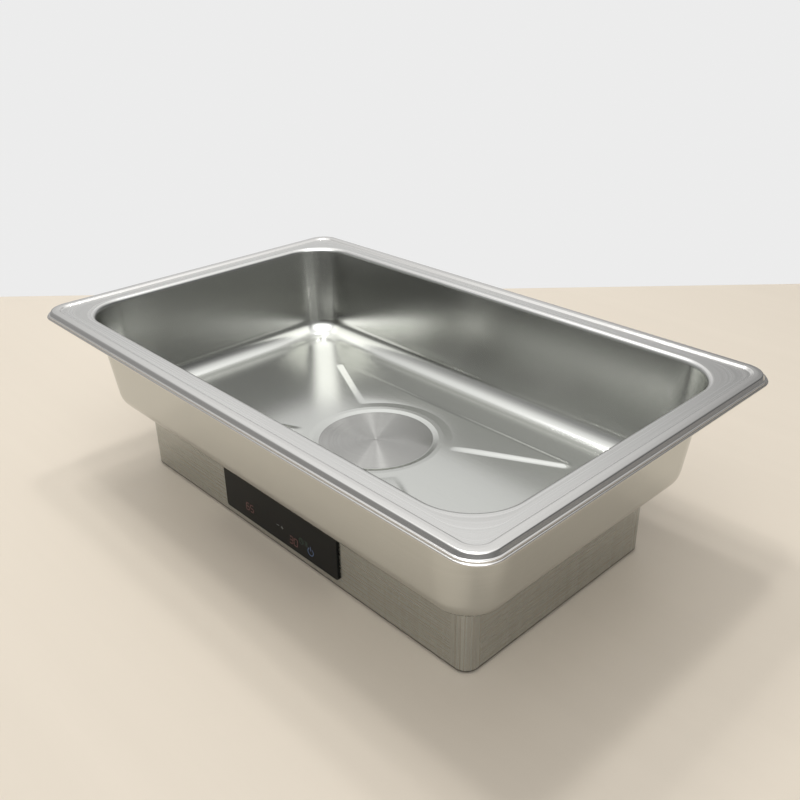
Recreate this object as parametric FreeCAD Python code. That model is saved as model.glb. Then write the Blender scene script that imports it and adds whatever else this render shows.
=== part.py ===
"""Full-size induction chafing dish: a pressed water pan that lifts off a low induction base.

Millimetres. +Z is up, +X runs along the long side and the control panel faces -Y.
The origin is on the table, under the centre of the pan.
"""

import FreeCAD, Part
import math
import os

from FreeCAD import Vector

# Water pan: the opening takes a full-size food pan, whose flange lies inside the crease
opening_length = 510.0
opening_width = 300.0
opening_corner = 43.0
pan_depth = 100.0
pan_sheet = 0.8
wall_inset = 12.6
floor_fillet = 20.0
lip_radius = 4.6
flange_width = 15.3
crease_corner = 14.0

# Rim border outside the crease: ramp, crown, shoulder, drop and turned-out edge with a round nose
border_ramp = 1.8
border_rise = 1.5
border_crown = 5.4
crown_swell = 0.15
shoulder_radius = 2.8
nose_radius = 2.3
nose_drop = 4.3
nose_reach = 0.6

# Pan floor: round recess over the induction disc, and a raised triangle on each long side
recess_radius = 63.0
recess_edge = 58.5
recess_floor = 53.6
recess_depth = 1.3
recess_shoulder = 0.25
triangle_shift = 4.0
triangle_base = 84.0
triangle_apex = 2.3
triangle_slope = 0.504
triangle_corner = 3.0
triangle_rise = 2.0
triangle_ramp = 4.0
triangle_gap = 1.5
triangle_fade = 60.0

# Induction disc bonded under the recess
disc_thickness = 4.7
disc_chamfer = 0.6

# Base box
base_length = 438.0
base_width = 226.0
base_corner = 17.0
base_sheet = 1.0
deck_top = 65.2
deck_bend = 2.5
deck_opening = 68.0
foot_height = 2.0
fit_gap = 0.3

# Pads between the base and the pan
pad_height = 2.0
pad_radius = 11.0
pad_end_inset = 29.0
pad_side_inset = 43.0

# Glass, its locating ring and the clamp ring under the deck
glass_radius = 80.0
glass_thickness = 4.0
disc_air_gap = 0.6
ring_side_gap = 2.3
ring_lead_in = 1.6
clamp_sheet = 1.2
clamp_grip = 8.0
clamp_side_gap = 1.6
clamp_flange = 10.0

# Coil assembly
mica_thickness = 0.5
mica_radius = 60.0
mica_hole = 8.5
wire_thickness = 3.0
wire_width = 5.0
coil_pitch = 7.0
coil_turns = 5
coil_start_radius = 18.5
coil_seat_gap = 0.1
carrier_thickness = 3.5
carrier_radius = 61.0
carrier_hub_drop = 6.0
carrier_wall = 2.5
carrier_hole = 9.0
carrier_shelf = 1.5
ear_radius = 6.0
ear_angles = (90.0, 210.0, 330.0)
ferrite_count = 8
ferrite_width = 8.0
ferrite_height = 3.5
ferrite_start = 14.0
ferrite_end = 56.0
sensor_cap = 6.5
sensor_cap_height = 1.2
sensor_stem = 4.0
sensor_length = 9.0

# Fasteners that show from outside, and the play in their holes
screw_shank = 1.5
screw_head = 2.9
screw_head_height = 1.8
screw_play = 0.1
hole_play = 0.2
thread_length = 8.0

# Base plate, its feet and the brackets that take its screws
foot_radius = 9.0
foot_end_inset = 23.0
foot_side_inset = 21.0
bracket_end_inset = 69.0
bracket_width = 22.0
bracket_leg = 14.0
bracket_height = 18.0
bracket_sheet = 1.5
bracket_hole_inset = 8.0

# Posts under the coil carrier and the power board
post_radius = 4.0
board_post = 7.0

# Cooling fan over the intake slots
fan_end_inset = 69.0
fan_shift = -8.0
fan_side = 80.0
fan_height = 25.0
fan_corner = 5.0
fan_bore = 38.0
blade_clearance = 1.0
blade_count = 7
blade_thickness = 1.4
blade_twist_root = 48.0
blade_twist_tip = 28.0
hub_radius = 17.0
hub_wall = 2.0
hub_gap = 1.75
motor_plate = 3.0
shaft_radius = 1.5
shaft_running_gap = 0.05
boss_radius = 4.5
stator_radius = 12.0
stator_poles = 4
stator_slot = 3.0
strut_count = 4
strut_width = 5.0
intake_slots = 9
intake_slot = 4.0
intake_pitch = 8.0
intake_reach = 36.5

# Power board and what stands on it
board_end_inset = 20.0
board_length = 118.0
board_width = 168.0
board_sheet = 1.6
board_lift = 7.0
board_post_inset = 6.0
sink_shift_x = -10.0
sink_shift_y = 20.0
sink_width = 60.0
sink_length = 100.0
sink_base = 5.0
sink_height = 30.0
sink_fins = 9
sink_fin = 1.8
sink_peg = 3.0
device_height = 4.5
transistor_length = 21.0
transistor_width = 16.0
bridge_length = 30.0
bridge_width = 20.0
device_y_spread = 28.0
lead_width = 1.2
lead_reach = 5.0
side_parts_inset = 19.0
resonance_size = (20.0, 42.0, 30.0)
resonance_inset = 29.0
filter_size = (15.0, 32.0, 24.0)
filter_inset = 26.0
choke_shift = 10.0
choke_radius = 14.0
choke_hole = 6.0
choke_height = 11.0
fuse_shift = -45.0
fuse_inset = 26.0
fuse_radius = 3.0
fuse_length = 30.0
fuse_lift = 5.0
terminal_shift = -10.0
terminal_inset = 26.0
terminal_size = (30.0, 12.0, 14.0)
terminal_ways = 4

# Control panel in the front wall
lens_length = 165.0
lens_height = 52.0
lens_corner = 3.0
lens_thickness = 2.0
window_length = 153.0
window_height = 40.0
window_corner = 3.0
tray_depth = 10.0
tray_wall = 1.5
hook_width = 10.0
hook_reach = 0.9
hook_depth = 1.5
hook_x = 45.0
control_sheet = 1.6
control_play = 0.6
control_rib = 4.0
digit_length = 38.0
digit_height = 12.5
digit_shift = -44.0
lens_air_gap = 0.3
key_x = (4.0, 20.0, 36.0, 52.0, 66.0)
key_drop = 4.0
key_side = 7.0
lamp_length = 3.0
lamp_height = 2.0
lamp_rise = 9.0

# Power inlet and air outlet in the rear wall
inlet_end_inset = 124.0
inlet_length = 27.4
inlet_height = 19.6
inlet_body_depth = 25.0
inlet_corner = 3.0
inlet_wall = 1.6
inlet_mouth_depth = 18.0
inlet_flange_length = 32.5
inlet_flange_height = 24.5
inlet_flange = 3.0
inlet_snap = 1.2
inlet_snap_width = 8.0
inlet_snap_depth = 3.0
pin_width = 2.0
pin_height = 4.0
pin_pitch = 14.0
pin_offset = 4.0
pin_setback = 3.0
pin_tail = 8.0
outlet_rise = 6.4
outlet_slots = 12
outlet_pitch = 7.0
outlet_slot = 3.0
outlet_height = 26.0

# Levels worked out from the sizes above
plate_top = foot_height + base_sheet
pan_underside = deck_top + pad_height
floor_level = pan_underside + pan_sheet
rim_level = floor_level + pan_depth
deck_under = deck_top - base_sheet
disc_top = pan_underside - recess_depth
disc_bottom = disc_top - disc_thickness
glass_top = disc_bottom - disc_air_gap
glass_bottom = glass_top - glass_thickness
mica_bottom = glass_bottom - mica_thickness
coil_top = mica_bottom - coil_seat_gap
coil_bottom = coil_top - wire_thickness
carrier_top = coil_bottom - coil_seat_gap
carrier_bottom = carrier_top - carrier_thickness
ear_reach = carrier_radius + ear_radius
board_bottom = plate_top + board_lift
board_top = board_bottom + board_sheet
sink_bottom = board_top + device_height
fan_top = plate_top + fan_height
clamp_bottom = deck_under - clamp_sheet

# Faces of the base box, and what is placed from them
front_face = -base_width / 2
rear_face = base_width / 2
end_face = base_length / 2
lens_level = (foot_height + deck_top) / 2
inlet_level = lens_level
outlet_level = lens_level + outlet_rise
inlet_x = end_face - inlet_end_inset
fan_x = end_face - fan_end_inset
fan_y = fan_shift
board_x = -end_face + board_end_inset + board_length / 2
outlet_x = board_x
sink_x = board_x + sink_shift_x
sink_y = sink_shift_y
side_parts_x = board_x + board_length / 2 - side_parts_inset
resonance_y = resonance_inset - board_width / 2
filter_y = board_width / 2 - filter_inset
fuse_x = board_x + fuse_shift
fuse_y = fuse_inset - board_width / 2
terminal_x = board_x + terminal_shift
terminal_y = terminal_inset - board_width / 2
digit_x = digit_shift

# Lines in the pan and radii round the glass
crease_length = opening_length + 2 * flange_width
crease_width = opening_width + 2 * flange_width
wall_lean = wall_inset / pan_depth
ring_bore = recess_floor + ring_side_gap
clamp_wall_radius = glass_radius + clamp_side_gap
clamp_outer = clamp_wall_radius + clamp_sheet + clamp_flange

# How far a cutting solid runs past the face that it cuts
over = 5.0

UP = Vector(0, 0, 1)


def outline(length, width, corner, z=0.0, x=0.0, y=0.0):
    """Closed wire of a rectangle with round corners, centred on (x, y) at height z."""
    half_x = length / 2 - corner
    half_y = width / 2 - corner
    corners = []
    for sign_x, sign_y, turn in ((1, 1, 0), (-1, 1, 90), (-1, -1, 180), (1, -1, 270)):
        centre = Vector(x + sign_x * half_x, y + sign_y * half_y, z)
        points = []
        for degrees in (turn, turn + 45, turn + 90):
            angle = math.radians(degrees)
            points.append(centre + Vector(math.cos(angle), math.sin(angle), 0) * corner)
        corners.append(points)
    edges = []
    for index, points in enumerate(corners):
        before = corners[index - 1][2]
        edges.append(Part.LineSegment(before, points[0]).toShape())
        edges.append(Part.Arc(*points).toShape())
    return Part.Wire(edges)


def block(length, width, corner, z0, z1, x=0.0, y=0.0):
    """Upright prism on a rectangle with round corners."""
    return Part.Face(outline(length, width, corner, z0, x, y)).extrude(UP * (z1 - z0))


def box(x0, x1, y0, y1, z0, z1):
    """Square-edged block between two corners."""
    return Part.makeBox(x1 - x0, y1 - y0, z1 - z0, Vector(x0, y0, z0))


def panel(length, height, corner, y0, y1, x, z):
    """Plate that stands upright along X, with round corners, between y0 and y1."""
    plate = block(length, height, corner, 0, y1 - y0)
    plate.rotate(Vector(0, 0, 0), Vector(1, 0, 0), 90)
    plate.translate(Vector(x, y1, z))
    return plate


def rod(radius, z0, z1, x=0.0, y=0.0):
    """Upright round bar."""
    return Part.makeCylinder(radius, z1 - z0, Vector(x, y, z0))


def rod_y(radius, y0, y1, x, z):
    """Round bar along Y."""
    return Part.makeCylinder(radius, y1 - y0, Vector(x, y0, z), Vector(0, 1, 0))


def turned(points, x=0.0, y=0.0):
    """Solid of revolution round the upright axis at (x, y), from (radius, height) points."""
    profile = [Vector(radius, 0, height) for radius, height in points]
    solid = Part.Face(Part.makePolygon(profile + profile[:1])).revolve(Vector(0, 0, 0), UP, 360)
    solid.translate(Vector(x, y, 0))
    return solid


def joined(shapes):
    """One solid from touching or overlapping ones, without seams between flush faces."""
    shapes = list(shapes)
    return shapes[0].multiFuse(shapes[1:]).removeSplitter()


def turned_copies(shape, count, x=0.0, y=0.0, start=0.0):
    """Copies of a shape at even angles round the upright axis at (x, y)."""
    copies = []
    for index in range(count):
        copy = shape.copy()
        copy.rotate(Vector(x, y, 0), UP, start + 360.0 * index / count)
        copies.append(copy)
    return copies


def polar(radius, degrees, x=0.0, y=0.0):
    """Point at a radius and angle round (x, y)."""
    angle = math.radians(degrees)
    return x + radius * math.cos(angle), y + radius * math.sin(angle)


def level_edges(shape, z):
    """Edges that lie flat at height z."""
    return [edge for edge in shape.Edges if abs(edge.BoundBox.ZMin - z) + abs(edge.BoundBox.ZMax - z) < 1e-4]


def corners_at(x, y):
    """Four points placed alike in the four quarters."""
    return [(sign_x * x, sign_y * y) for sign_x in (-1, 1) for sign_y in (-1, 1)]


def screw(length):
    """Plain screw along Z, its head above z = 0 and its shank below."""
    return joined([rod(screw_shank, -length, 0), rod(screw_head, 0, screw_head_height)])


# Water pan


def wall_section(z, skin):
    """Outline of the pan wall at height z, on the inside (skin 0) or a sheet further out."""
    inset = wall_lean * (rim_level - z) - skin
    return outline(opening_length - 2 * inset, opening_width - 2 * inset, opening_corner - inset, z)


def triangle(skin):
    """Raised triangle on the +Y side: a ramped plateau with round tips. It fades out to the recess."""
    floor = floor_level - skin
    layers = []
    for z, shrink in ((floor - 1.0, -triangle_ramp / triangle_rise), (floor + triangle_rise, triangle_ramp)):
        slant = math.hypot(1, triangle_slope)
        apex = triangle_apex + shrink * slant
        base = triangle_base - shrink
        tip_x = (base - apex) / triangle_slope
        points = [Vector(0, apex, z), Vector(tip_x, base, z), Vector(-tip_x, base, z)]
        layers.append(round_tips(points, triangle_corner))
    plateau = Part.makeLoft(layers, True, True)
    plateau.translate(Vector(triangle_shift, 0, 0))
    near = recess_radius + triangle_gap
    keep_out = turned([(0, floor - 2), (near, floor - 2), (near, floor),
                       (near + triangle_fade, floor + triangle_rise),
                       (near + triangle_fade, floor + triangle_rise + 2), (0, floor + triangle_rise + 2)])
    return plateau.cut(keep_out)


def round_tips(points, radius):
    """Closed wire through three corners, each rounded by an arc."""
    arcs = []
    for index, corner in enumerate(points):
        before = (points[index - 1] - corner).normalize()
        after = (points[(index + 1) % 3] - corner).normalize()
        half = before.getAngle(after) / 2
        reach = radius / math.tan(half)
        middle = corner + (before + after).normalize() * (radius / math.sin(half) - radius)
        arcs.append((corner + before * reach, middle, corner + after * reach))
    edges = []
    for index, arc in enumerate(arcs):
        edges.append(Part.LineSegment(arcs[index - 1][2], arc[0]).toShape())
        edges.append(Part.Arc(*arc).toShape())
    return Part.Wire(edges)


def recess(skin):
    """Space of the round recess in the floor: a shallow shoulder and a steeper step."""
    floor = floor_level - skin
    return turned([(0, floor - recess_depth), (recess_floor, floor - recess_depth),
                   (recess_edge, floor - recess_shoulder), (recess_radius, floor),
                   (recess_radius, floor + 1), (0, floor + 1)])


def ground(skin):
    """Solid ground under the pressed sheet: its top is the sheet's upper side, or its underside."""
    floor = floor_level - skin
    top = rim_level - skin
    spare = over if skin else 0.0
    solid = block(crease_length + 2 * spare, crease_width + 2 * spare, crease_corner + spare,
                  floor - 2 * over - spare, top)
    cavity = Part.makeLoft([wall_section(floor, skin), wall_section(rim_level + over, skin)], True, True)
    cavity = cavity.makeFillet(floor_fillet + skin, level_edges(cavity, floor))
    solid = solid.cut(cavity)
    lip = []
    for edge in level_edges(solid, top):
        bounds = edge.BoundBox
        inside_x = max(abs(bounds.XMin), abs(bounds.XMax)) < crease_length / 2 - lip_radius
        inside_y = max(abs(bounds.YMin), abs(bounds.YMax)) < crease_width / 2 - lip_radius
        if inside_x and inside_y:
            lip.append(edge)
    solid = solid.makeFillet(lip_radius - skin, lip)
    raised = triangle(skin)
    mirrored = raised.mirror(Vector(0, 0, 0), Vector(0, 1, 0))
    return solid.multiFuse([raised, mirrored]).cut(recess(skin))


def rim_border():
    """Border outside the crease: its section is carried round the crease line."""
    side = crease_length / 2
    start_y = -(crease_width / 2 - crease_corner)

    def at(out, up):
        return Vector(side + out, start_y, rim_level + up)

    crown_end = border_ramp + border_crown
    wall = crown_end + shoulder_radius
    inner_wall = wall - pan_sheet
    drop_top = border_rise - shoulder_radius
    crown_middle = border_ramp + border_crown / 2
    diagonal = shoulder_radius * math.sqrt(0.5)
    nose = wall + nose_reach
    nose_top = nose_radius - nose_drop
    nose_low = -nose_radius - nose_drop
    edges = [
        Part.LineSegment(at(0, 0), at(border_ramp, border_rise)),
        Part.Arc(at(border_ramp, border_rise), at(crown_middle, border_rise + crown_swell),
                 at(crown_end, border_rise)),
        Part.Arc(at(crown_end, border_rise), at(crown_end + diagonal, drop_top + diagonal),
                 at(wall, drop_top)),
        Part.LineSegment(at(wall, drop_top), at(wall, nose_top)),
        Part.LineSegment(at(wall, nose_top), at(nose, nose_top)),
        Part.Arc(at(nose, nose_top), at(nose + nose_radius, -nose_drop), at(nose, nose_low)),
        Part.LineSegment(at(nose, nose_low), at(inner_wall, nose_low)),
        Part.LineSegment(at(inner_wall, nose_low), at(inner_wall, drop_top)),
        Part.LineSegment(at(inner_wall, drop_top), at(crown_end, border_rise - pan_sheet)),
        Part.LineSegment(at(crown_end, border_rise - pan_sheet), at(border_ramp, border_rise - pan_sheet)),
        Part.LineSegment(at(border_ramp, border_rise - pan_sheet), at(0, -pan_sheet)),
        Part.LineSegment(at(0, -pan_sheet), at(0, 0)),
    ]
    section = Part.Wire([edge.toShape() for edge in edges])
    path = outline(crease_length, crease_width, crease_corner, rim_level)
    return path.makePipeShell([section], True, False)


def water_pan():
    """Pressed pan: the sheet between its upper side and its underside, with the border."""
    sheet = ground(0.0).cut(ground(pan_sheet))
    return joined([sheet, rim_border()])


def induction_disc():
    """Magnetic steel disc bonded under the recess, with a chamfered lower edge."""
    return turned([(0, disc_bottom), (recess_floor - disc_chamfer, disc_bottom),
                   (recess_floor, disc_bottom + disc_chamfer), (recess_floor, disc_top), (0, disc_top)])


# Base box


def base_housing():
    """Folded box, open below, with the deck, the panel window and the openings of the rear wall."""
    outer = block(base_length, base_width, base_corner, foot_height, deck_top)
    outer = outer.makeFillet(deck_bend, level_edges(outer, deck_top))
    inner = block(base_length - 2 * base_sheet, base_width - 2 * base_sheet, base_corner - base_sheet,
                  foot_height - over, deck_under)
    bevel = (2 - math.sqrt(2)) * (deck_bend - base_sheet)
    inner = inner.makeChamfer(bevel, level_edges(inner, deck_under))
    shell = outer.cut(inner)
    wall_cuts = [rod(deck_opening, deck_under - over, deck_top + over)]
    wall_cuts.append(panel(window_length, window_height, window_corner, front_face - over, front_face + over,
                           0, lens_level))
    wall_cuts.append(panel(inlet_length + 2 * hole_play, inlet_height + 2 * hole_play, inlet_corner,
                           rear_face - over, rear_face + over, inlet_x, inlet_level))
    for index in range(outlet_slots):
        x = outlet_x + (index - (outlet_slots - 1) / 2) * outlet_pitch
        wall_cuts.append(box(x - outlet_slot / 2, x + outlet_slot / 2, rear_face - over, rear_face + over,
                             outlet_level - outlet_height / 2, outlet_level + outlet_height / 2))
    return shell.cut(wall_cuts)


def base_plate():
    """Flat plate that closes the box, with screw holes and a round field of intake slots."""
    gap = base_sheet + fit_gap
    plate = block(base_length - 2 * gap, base_width - 2 * gap, base_corner - gap, foot_height, plate_top)
    cuts = []
    for x, y in bracket_holes():
        cuts.append(rod(screw_shank + hole_play, foot_height - 1, plate_top + 1, x, y))
    for index in range(intake_slots):
        shift = (index - (intake_slots - 1) / 2) * intake_pitch
        reach = math.sqrt(intake_reach ** 2 - shift ** 2)
        cuts.append(box(fan_x + shift - intake_slot / 2, fan_x + shift + intake_slot / 2,
                        fan_y - reach, fan_y + reach, foot_height - 1, plate_top + 1))
    return plate.cut(cuts)


def bracket_holes():
    """Centres of the base plate's screws, one in each bracket."""
    return corners_at(end_face - bracket_end_inset, rear_face - base_sheet - bracket_hole_inset)


def corner_brackets():
    """Folded brackets welded to the long walls, each with a hole over the base plate."""
    brackets = []
    for x, y in bracket_holes():
        inward = -math.copysign(1, y)
        wall = -inward * (rear_face - base_sheet)
        y_out = sorted((wall, wall + inward * bracket_sheet))
        y_leg = sorted((wall, wall + inward * bracket_leg))
        x0 = x - bracket_width / 2
        x1 = x + bracket_width / 2
        leg = box(x0, x1, y_leg[0], y_leg[1], plate_top, plate_top + bracket_sheet)
        upright = box(x0, x1, y_out[0], y_out[1], plate_top, plate_top + bracket_height)
        hole = rod(screw_shank + screw_play, plate_top - 1, plate_top + bracket_sheet + 1, x, y)
        brackets.append(joined([leg, upright]).cut(hole))
    return brackets


def base_screws():
    """Screws from below, through the base plate into the brackets."""
    screws = []
    for x, y in bracket_holes():
        piece = screw(thread_length)
        piece.rotate(Vector(0, 0, 0), Vector(1, 0, 0), 180)
        piece.translate(Vector(x, y, foot_height))
        screws.append(piece)
    return screws


def rubber_feet():
    """Four feet under the base plate."""
    places = corners_at(end_face - foot_end_inset, rear_face - foot_side_inset)
    return [rod(foot_radius, 0, foot_height, x, y) for x, y in places]


def pan_pads():
    """Silicone pads on the deck that carry the flat of the pan's underside."""
    places = corners_at(end_face - pad_end_inset, rear_face - pad_side_inset)
    return [rod(pad_radius, deck_top, pan_underside, x, y) for x, y in places]


# Glass and what holds it


def glass_plate():
    """Round ceramic glass plate."""
    return rod(glass_radius, glass_bottom, glass_top)


def locating_ring():
    """Silicone ring on the glass: it fills the deck opening and guides the disc in by its lead-in."""
    mouth = deck_opening - fit_gap
    return turned([(ring_bore, glass_top), (glass_radius, glass_top), (glass_radius, deck_under),
                   (mouth, deck_under), (mouth, deck_top), (ring_bore + ring_lead_in, deck_top),
                   (ring_bore, deck_top - ring_lead_in)])


def clamp_ring():
    """Pressed ring, welded under the deck, that holds the glass up against the silicone ring."""
    inner = glass_radius - clamp_grip
    outside = clamp_wall_radius + clamp_sheet
    return turned([(inner, glass_bottom - clamp_sheet), (outside, glass_bottom - clamp_sheet),
                   (outside, clamp_bottom), (clamp_outer, clamp_bottom), (clamp_outer, deck_under),
                   (clamp_wall_radius, deck_under), (clamp_wall_radius, glass_bottom), (inner, glass_bottom)])


# Coil assembly


def mica_sheet():
    """Insulating sheet between the coil and the glass."""
    return rod(mica_radius, mica_bottom, glass_bottom).cut(rod(mica_hole, mica_bottom - 1, glass_bottom + 1))


def induction_coil():
    """Flat spiral of pressed litz wire. Each half turn is an arc, and the centres alternate between
    two points half a pitch apart, so that the radius grows by half a pitch and the turns never meet."""
    middle = (coil_top + coil_bottom) / 2
    edges = []
    for half in range(2 * coil_turns):
        radius = coil_start_radius + half * coil_pitch / 2
        centre_x = coil_pitch / 4 if half % 2 else -coil_pitch / 4
        start = 180 * (half % 2)
        points = []
        for degrees in (start, start + 90, start + 180):
            x, y = polar(radius, degrees, centre_x)
            points.append(Vector(x, y, middle))
        edges.append(Part.Arc(*points).toShape())
    path = Part.Wire(edges)
    start_x = coil_start_radius - coil_pitch / 4
    half_w = wire_width / 2
    half_t = wire_thickness / 2
    low = middle - half_t
    high = middle + half_t
    corners = [Vector(start_x + x, 0, z) for x, z in
               ((-half_w, low), (half_w, low), (half_w, high), (-half_w, high), (-half_w, low))]
    print("coil: %d turns, gap between turns %.2f mm, outer radius %.1f mm"
          % (coil_turns, coil_pitch - wire_width, coil_start_radius + coil_turns * coil_pitch))
    return path.makePipeShell([Part.makePolygon(corners)], True, False)


def coil_carrier():
    """Moulded disc under the coil, with a hub below, a shelf for the sensor and three ears."""
    hub_bottom = carrier_bottom - carrier_hub_drop
    hub = carrier_hole + carrier_wall
    bore = sensor_stem + hole_play
    body = turned([(carrier_hole, carrier_top), (carrier_radius, carrier_top),
                   (carrier_radius, carrier_bottom), (hub, carrier_bottom), (hub, hub_bottom),
                   (bore, hub_bottom), (bore, hub_bottom + carrier_shelf),
                   (carrier_hole, hub_bottom + carrier_shelf)])
    ears = []
    for degrees in ear_angles:
        arm = box(carrier_radius - carrier_wall, ear_reach, -ear_radius, ear_radius,
                  carrier_bottom, carrier_top)
        ear = joined([arm, rod(ear_radius, carrier_bottom, carrier_top, ear_reach)])
        ear.rotate(Vector(0, 0, 0), UP, degrees)
        ears.append(ear)
    return joined([body] + ears)


def ferrite_bars():
    """Ferrite bars set like spokes against the underside of the carrier."""
    bar = box(ferrite_start, ferrite_end, -ferrite_width / 2, ferrite_width / 2,
              carrier_bottom - ferrite_height, carrier_bottom)
    return turned_copies(bar, ferrite_count)


def coil_posts():
    """Posts from the base plate to the three ears."""
    places = [polar(ear_reach, degrees) for degrees in ear_angles]
    return [rod(post_radius, plate_top, carrier_bottom, x, y) for x, y in places]


def temperature_sensor():
    """Sensor with a flat cap against the glass and a stem in its sleeve."""
    cap_bottom = glass_bottom - sensor_cap_height
    return joined([rod(sensor_cap, cap_bottom, glass_bottom),
                   rod(sensor_stem, cap_bottom - sensor_length, cap_bottom)])


def sensor_sleeve():
    """Silicone sleeve on the carrier's shelf that presses the sensor up."""
    low = carrier_bottom - carrier_hub_drop + carrier_shelf
    high = glass_bottom - sensor_cap_height
    outer = carrier_hole - hole_play
    return turned([(sensor_stem + screw_play, low), (outer, low), (outer, high),
                   (sensor_stem + screw_play, high)])


# Power board


def power_board():
    """Circuit board."""
    return box(board_x - board_length / 2, board_x + board_length / 2, -board_width / 2, board_width / 2,
               board_bottom, board_top)


def board_posts():
    """Posts under the corners of the power board."""
    places = corners_at(board_length / 2 - board_post_inset, board_width / 2 - board_post_inset)
    half = board_post / 2
    return [box(board_x + x - half, board_x + x + half, y - half, y + half, plate_top, board_bottom)
            for x, y in places]


def heat_sink():
    """Extruded sink: a base with upright fins, on a peg at each corner."""
    y0 = sink_y - sink_length / 2
    y1 = sink_y + sink_length / 2
    x0 = sink_x - sink_width / 2
    x1 = sink_x + sink_width / 2
    base_top = sink_bottom + sink_base
    parts = [box(x0, x1, y0, y1, sink_bottom, base_top)]
    pitch = (sink_width - sink_fin) / (sink_fins - 1)
    for index in range(sink_fins):
        fin = x0 + index * pitch
        parts.append(box(fin, fin + sink_fin, y0, y1, base_top, sink_bottom + sink_height))
    for sign_x, sign_y in corners_at(1, 1):
        x = sorted((sink_x + sign_x * sink_width / 2, sink_x + sign_x * (sink_width / 2 - sink_peg)))
        y = sorted((sink_y + sign_y * sink_length / 2, sink_y + sign_y * (sink_length / 2 - sink_peg)))
        parts.append(box(x[0], x[1], y[0], y[1], board_top, sink_bottom))
    return joined(parts)


def device(length, width, y, leads):
    """Flat power package between the board and the sink, its leads bent down to the board."""
    x0 = sink_x - length / 2
    x1 = sink_x + length / 2
    parts = [box(x0, x1, y - width / 2, y + width / 2, board_top, sink_bottom)]
    pitch = width / (leads + 1)
    for index in range(leads):
        middle = y - width / 2 + (index + 1) * pitch
        low = board_top + device_height / 2
        parts.append(box(x1, x1 + lead_reach, middle - lead_width / 2, middle + lead_width / 2,
                         low, low + lead_width / 2))
        parts.append(box(x1 + lead_reach - lead_width / 2, x1 + lead_reach, middle - lead_width / 2,
                         middle + lead_width / 2, board_top, low))
    return joined(parts)


def power_transistor():
    """Switching transistor under the sink."""
    return device(transistor_length, transistor_width, sink_y - device_y_spread, 3)


def bridge_rectifier():
    """Bridge rectifier under the sink."""
    return device(bridge_length, bridge_width, sink_y + device_y_spread, 4)


def capacitor(size, y):
    """Box capacitor with bevelled top edges, on the inner side of the board."""
    width, length, height = size
    case = box(side_parts_x - width / 2, side_parts_x + width / 2, y - length / 2, y + length / 2,
               board_top, board_top + height)
    return case.makeChamfer(0.8, level_edges(case, board_top + height))


def choke():
    """Ring choke lying on the board, its winding filled in."""
    bevel = (choke_radius - choke_hole) / 4
    low = board_top
    high = board_top + choke_height
    return turned([(choke_hole, low), (choke_radius - bevel, low), (choke_radius, low + bevel),
                   (choke_radius, high - bevel), (choke_radius - bevel, high), (choke_hole, high)],
                  side_parts_x, choke_shift)


def fuse_tube():
    """Glass fuse along Y in the middle of its clips."""
    half = fuse_length / 2
    return rod_y(fuse_radius, fuse_y - half, fuse_y + half, fuse_x, board_top + fuse_lift)


def fuse_clips():
    """Two spring clips, each a block with a seat for the fuse that is open at the top."""
    clips = []
    for sign in (-1, 1):
        y = fuse_y + sign * (fuse_length / 2 - 3)
        level = board_top + fuse_lift
        body = box(fuse_x - fuse_radius - 1, fuse_x + fuse_radius + 1, y - 2.5, y + 2.5, board_top, level + 2)
        seat = rod_y(fuse_radius + screw_play, y - over, y + over, fuse_x, level)
        mouth = box(fuse_x - 0.8 * fuse_radius, fuse_x + 0.8 * fuse_radius, y - over, y + over,
                    level, level + over)
        clips.append(body.cut([seat, mouth]))
    return clips


def terminal_block():
    """Terminals for the mains and coil wires, with square wire mouths to the side."""
    length, width, height = terminal_size
    x0 = terminal_x - length / 2
    body = box(x0, x0 + length, terminal_y - width / 2, terminal_y + width / 2, board_top, board_top + height)
    pitch = length / terminal_ways
    cuts = []
    for index in range(terminal_ways):
        x = x0 + (index + 0.5) * pitch
        cuts.append(box(x - 0.3 * pitch, x + 0.3 * pitch, terminal_y - width, terminal_y - width / 4,
                        board_top + 2, board_top + 7))
    return body.cut(cuts)


# Cooling fan


def fan_frame():
    """Square frame with a round duct and a motor plate on struts over the intake."""
    duct = block(fan_side, fan_side, fan_corner, plate_top, fan_top, fan_x, fan_y)
    duct = duct.cut(rod(fan_bore, plate_top - 1, fan_top + 1, fan_x, fan_y))
    strut = box(fan_x + boss_radius, fan_x + fan_bore + 1, fan_y - strut_width / 2, fan_y + strut_width / 2,
                plate_top, plate_top + motor_plate)
    plate = rod(hub_radius, plate_top, plate_top + motor_plate, fan_x, fan_y)
    boss = rod(boss_radius, plate_top, boss_top(), fan_x, fan_y)
    frame = joined([duct, plate, boss] + turned_copies(strut, strut_count, fan_x, fan_y, 45.0))
    return frame.cut(rod(shaft_radius + shaft_running_gap, plate_top + 1, fan_top, fan_x, fan_y))


def boss_top():
    """Top of the bearing boss, below the hub's inside."""
    return hub_top() - hub_wall - hub_gap


def hub_top():
    """Top of the rotor's hub."""
    return fan_top - blade_clearance


def fan_stator():
    """Slotted stator round the boss, on the motor plate."""
    low = plate_top + motor_plate
    high = boss_top() - hub_gap
    core = turned([(boss_radius, low), (stator_radius, low), (stator_radius, high), (boss_radius, high)],
                  fan_x, fan_y)
    slot = box(fan_x + boss_radius + 3, fan_x + stator_radius + 1, fan_y - stator_slot / 2,
               fan_y + stator_slot / 2, low - 1, high + 1)
    return core.cut(turned_copies(slot, stator_poles, fan_x, fan_y))


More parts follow.
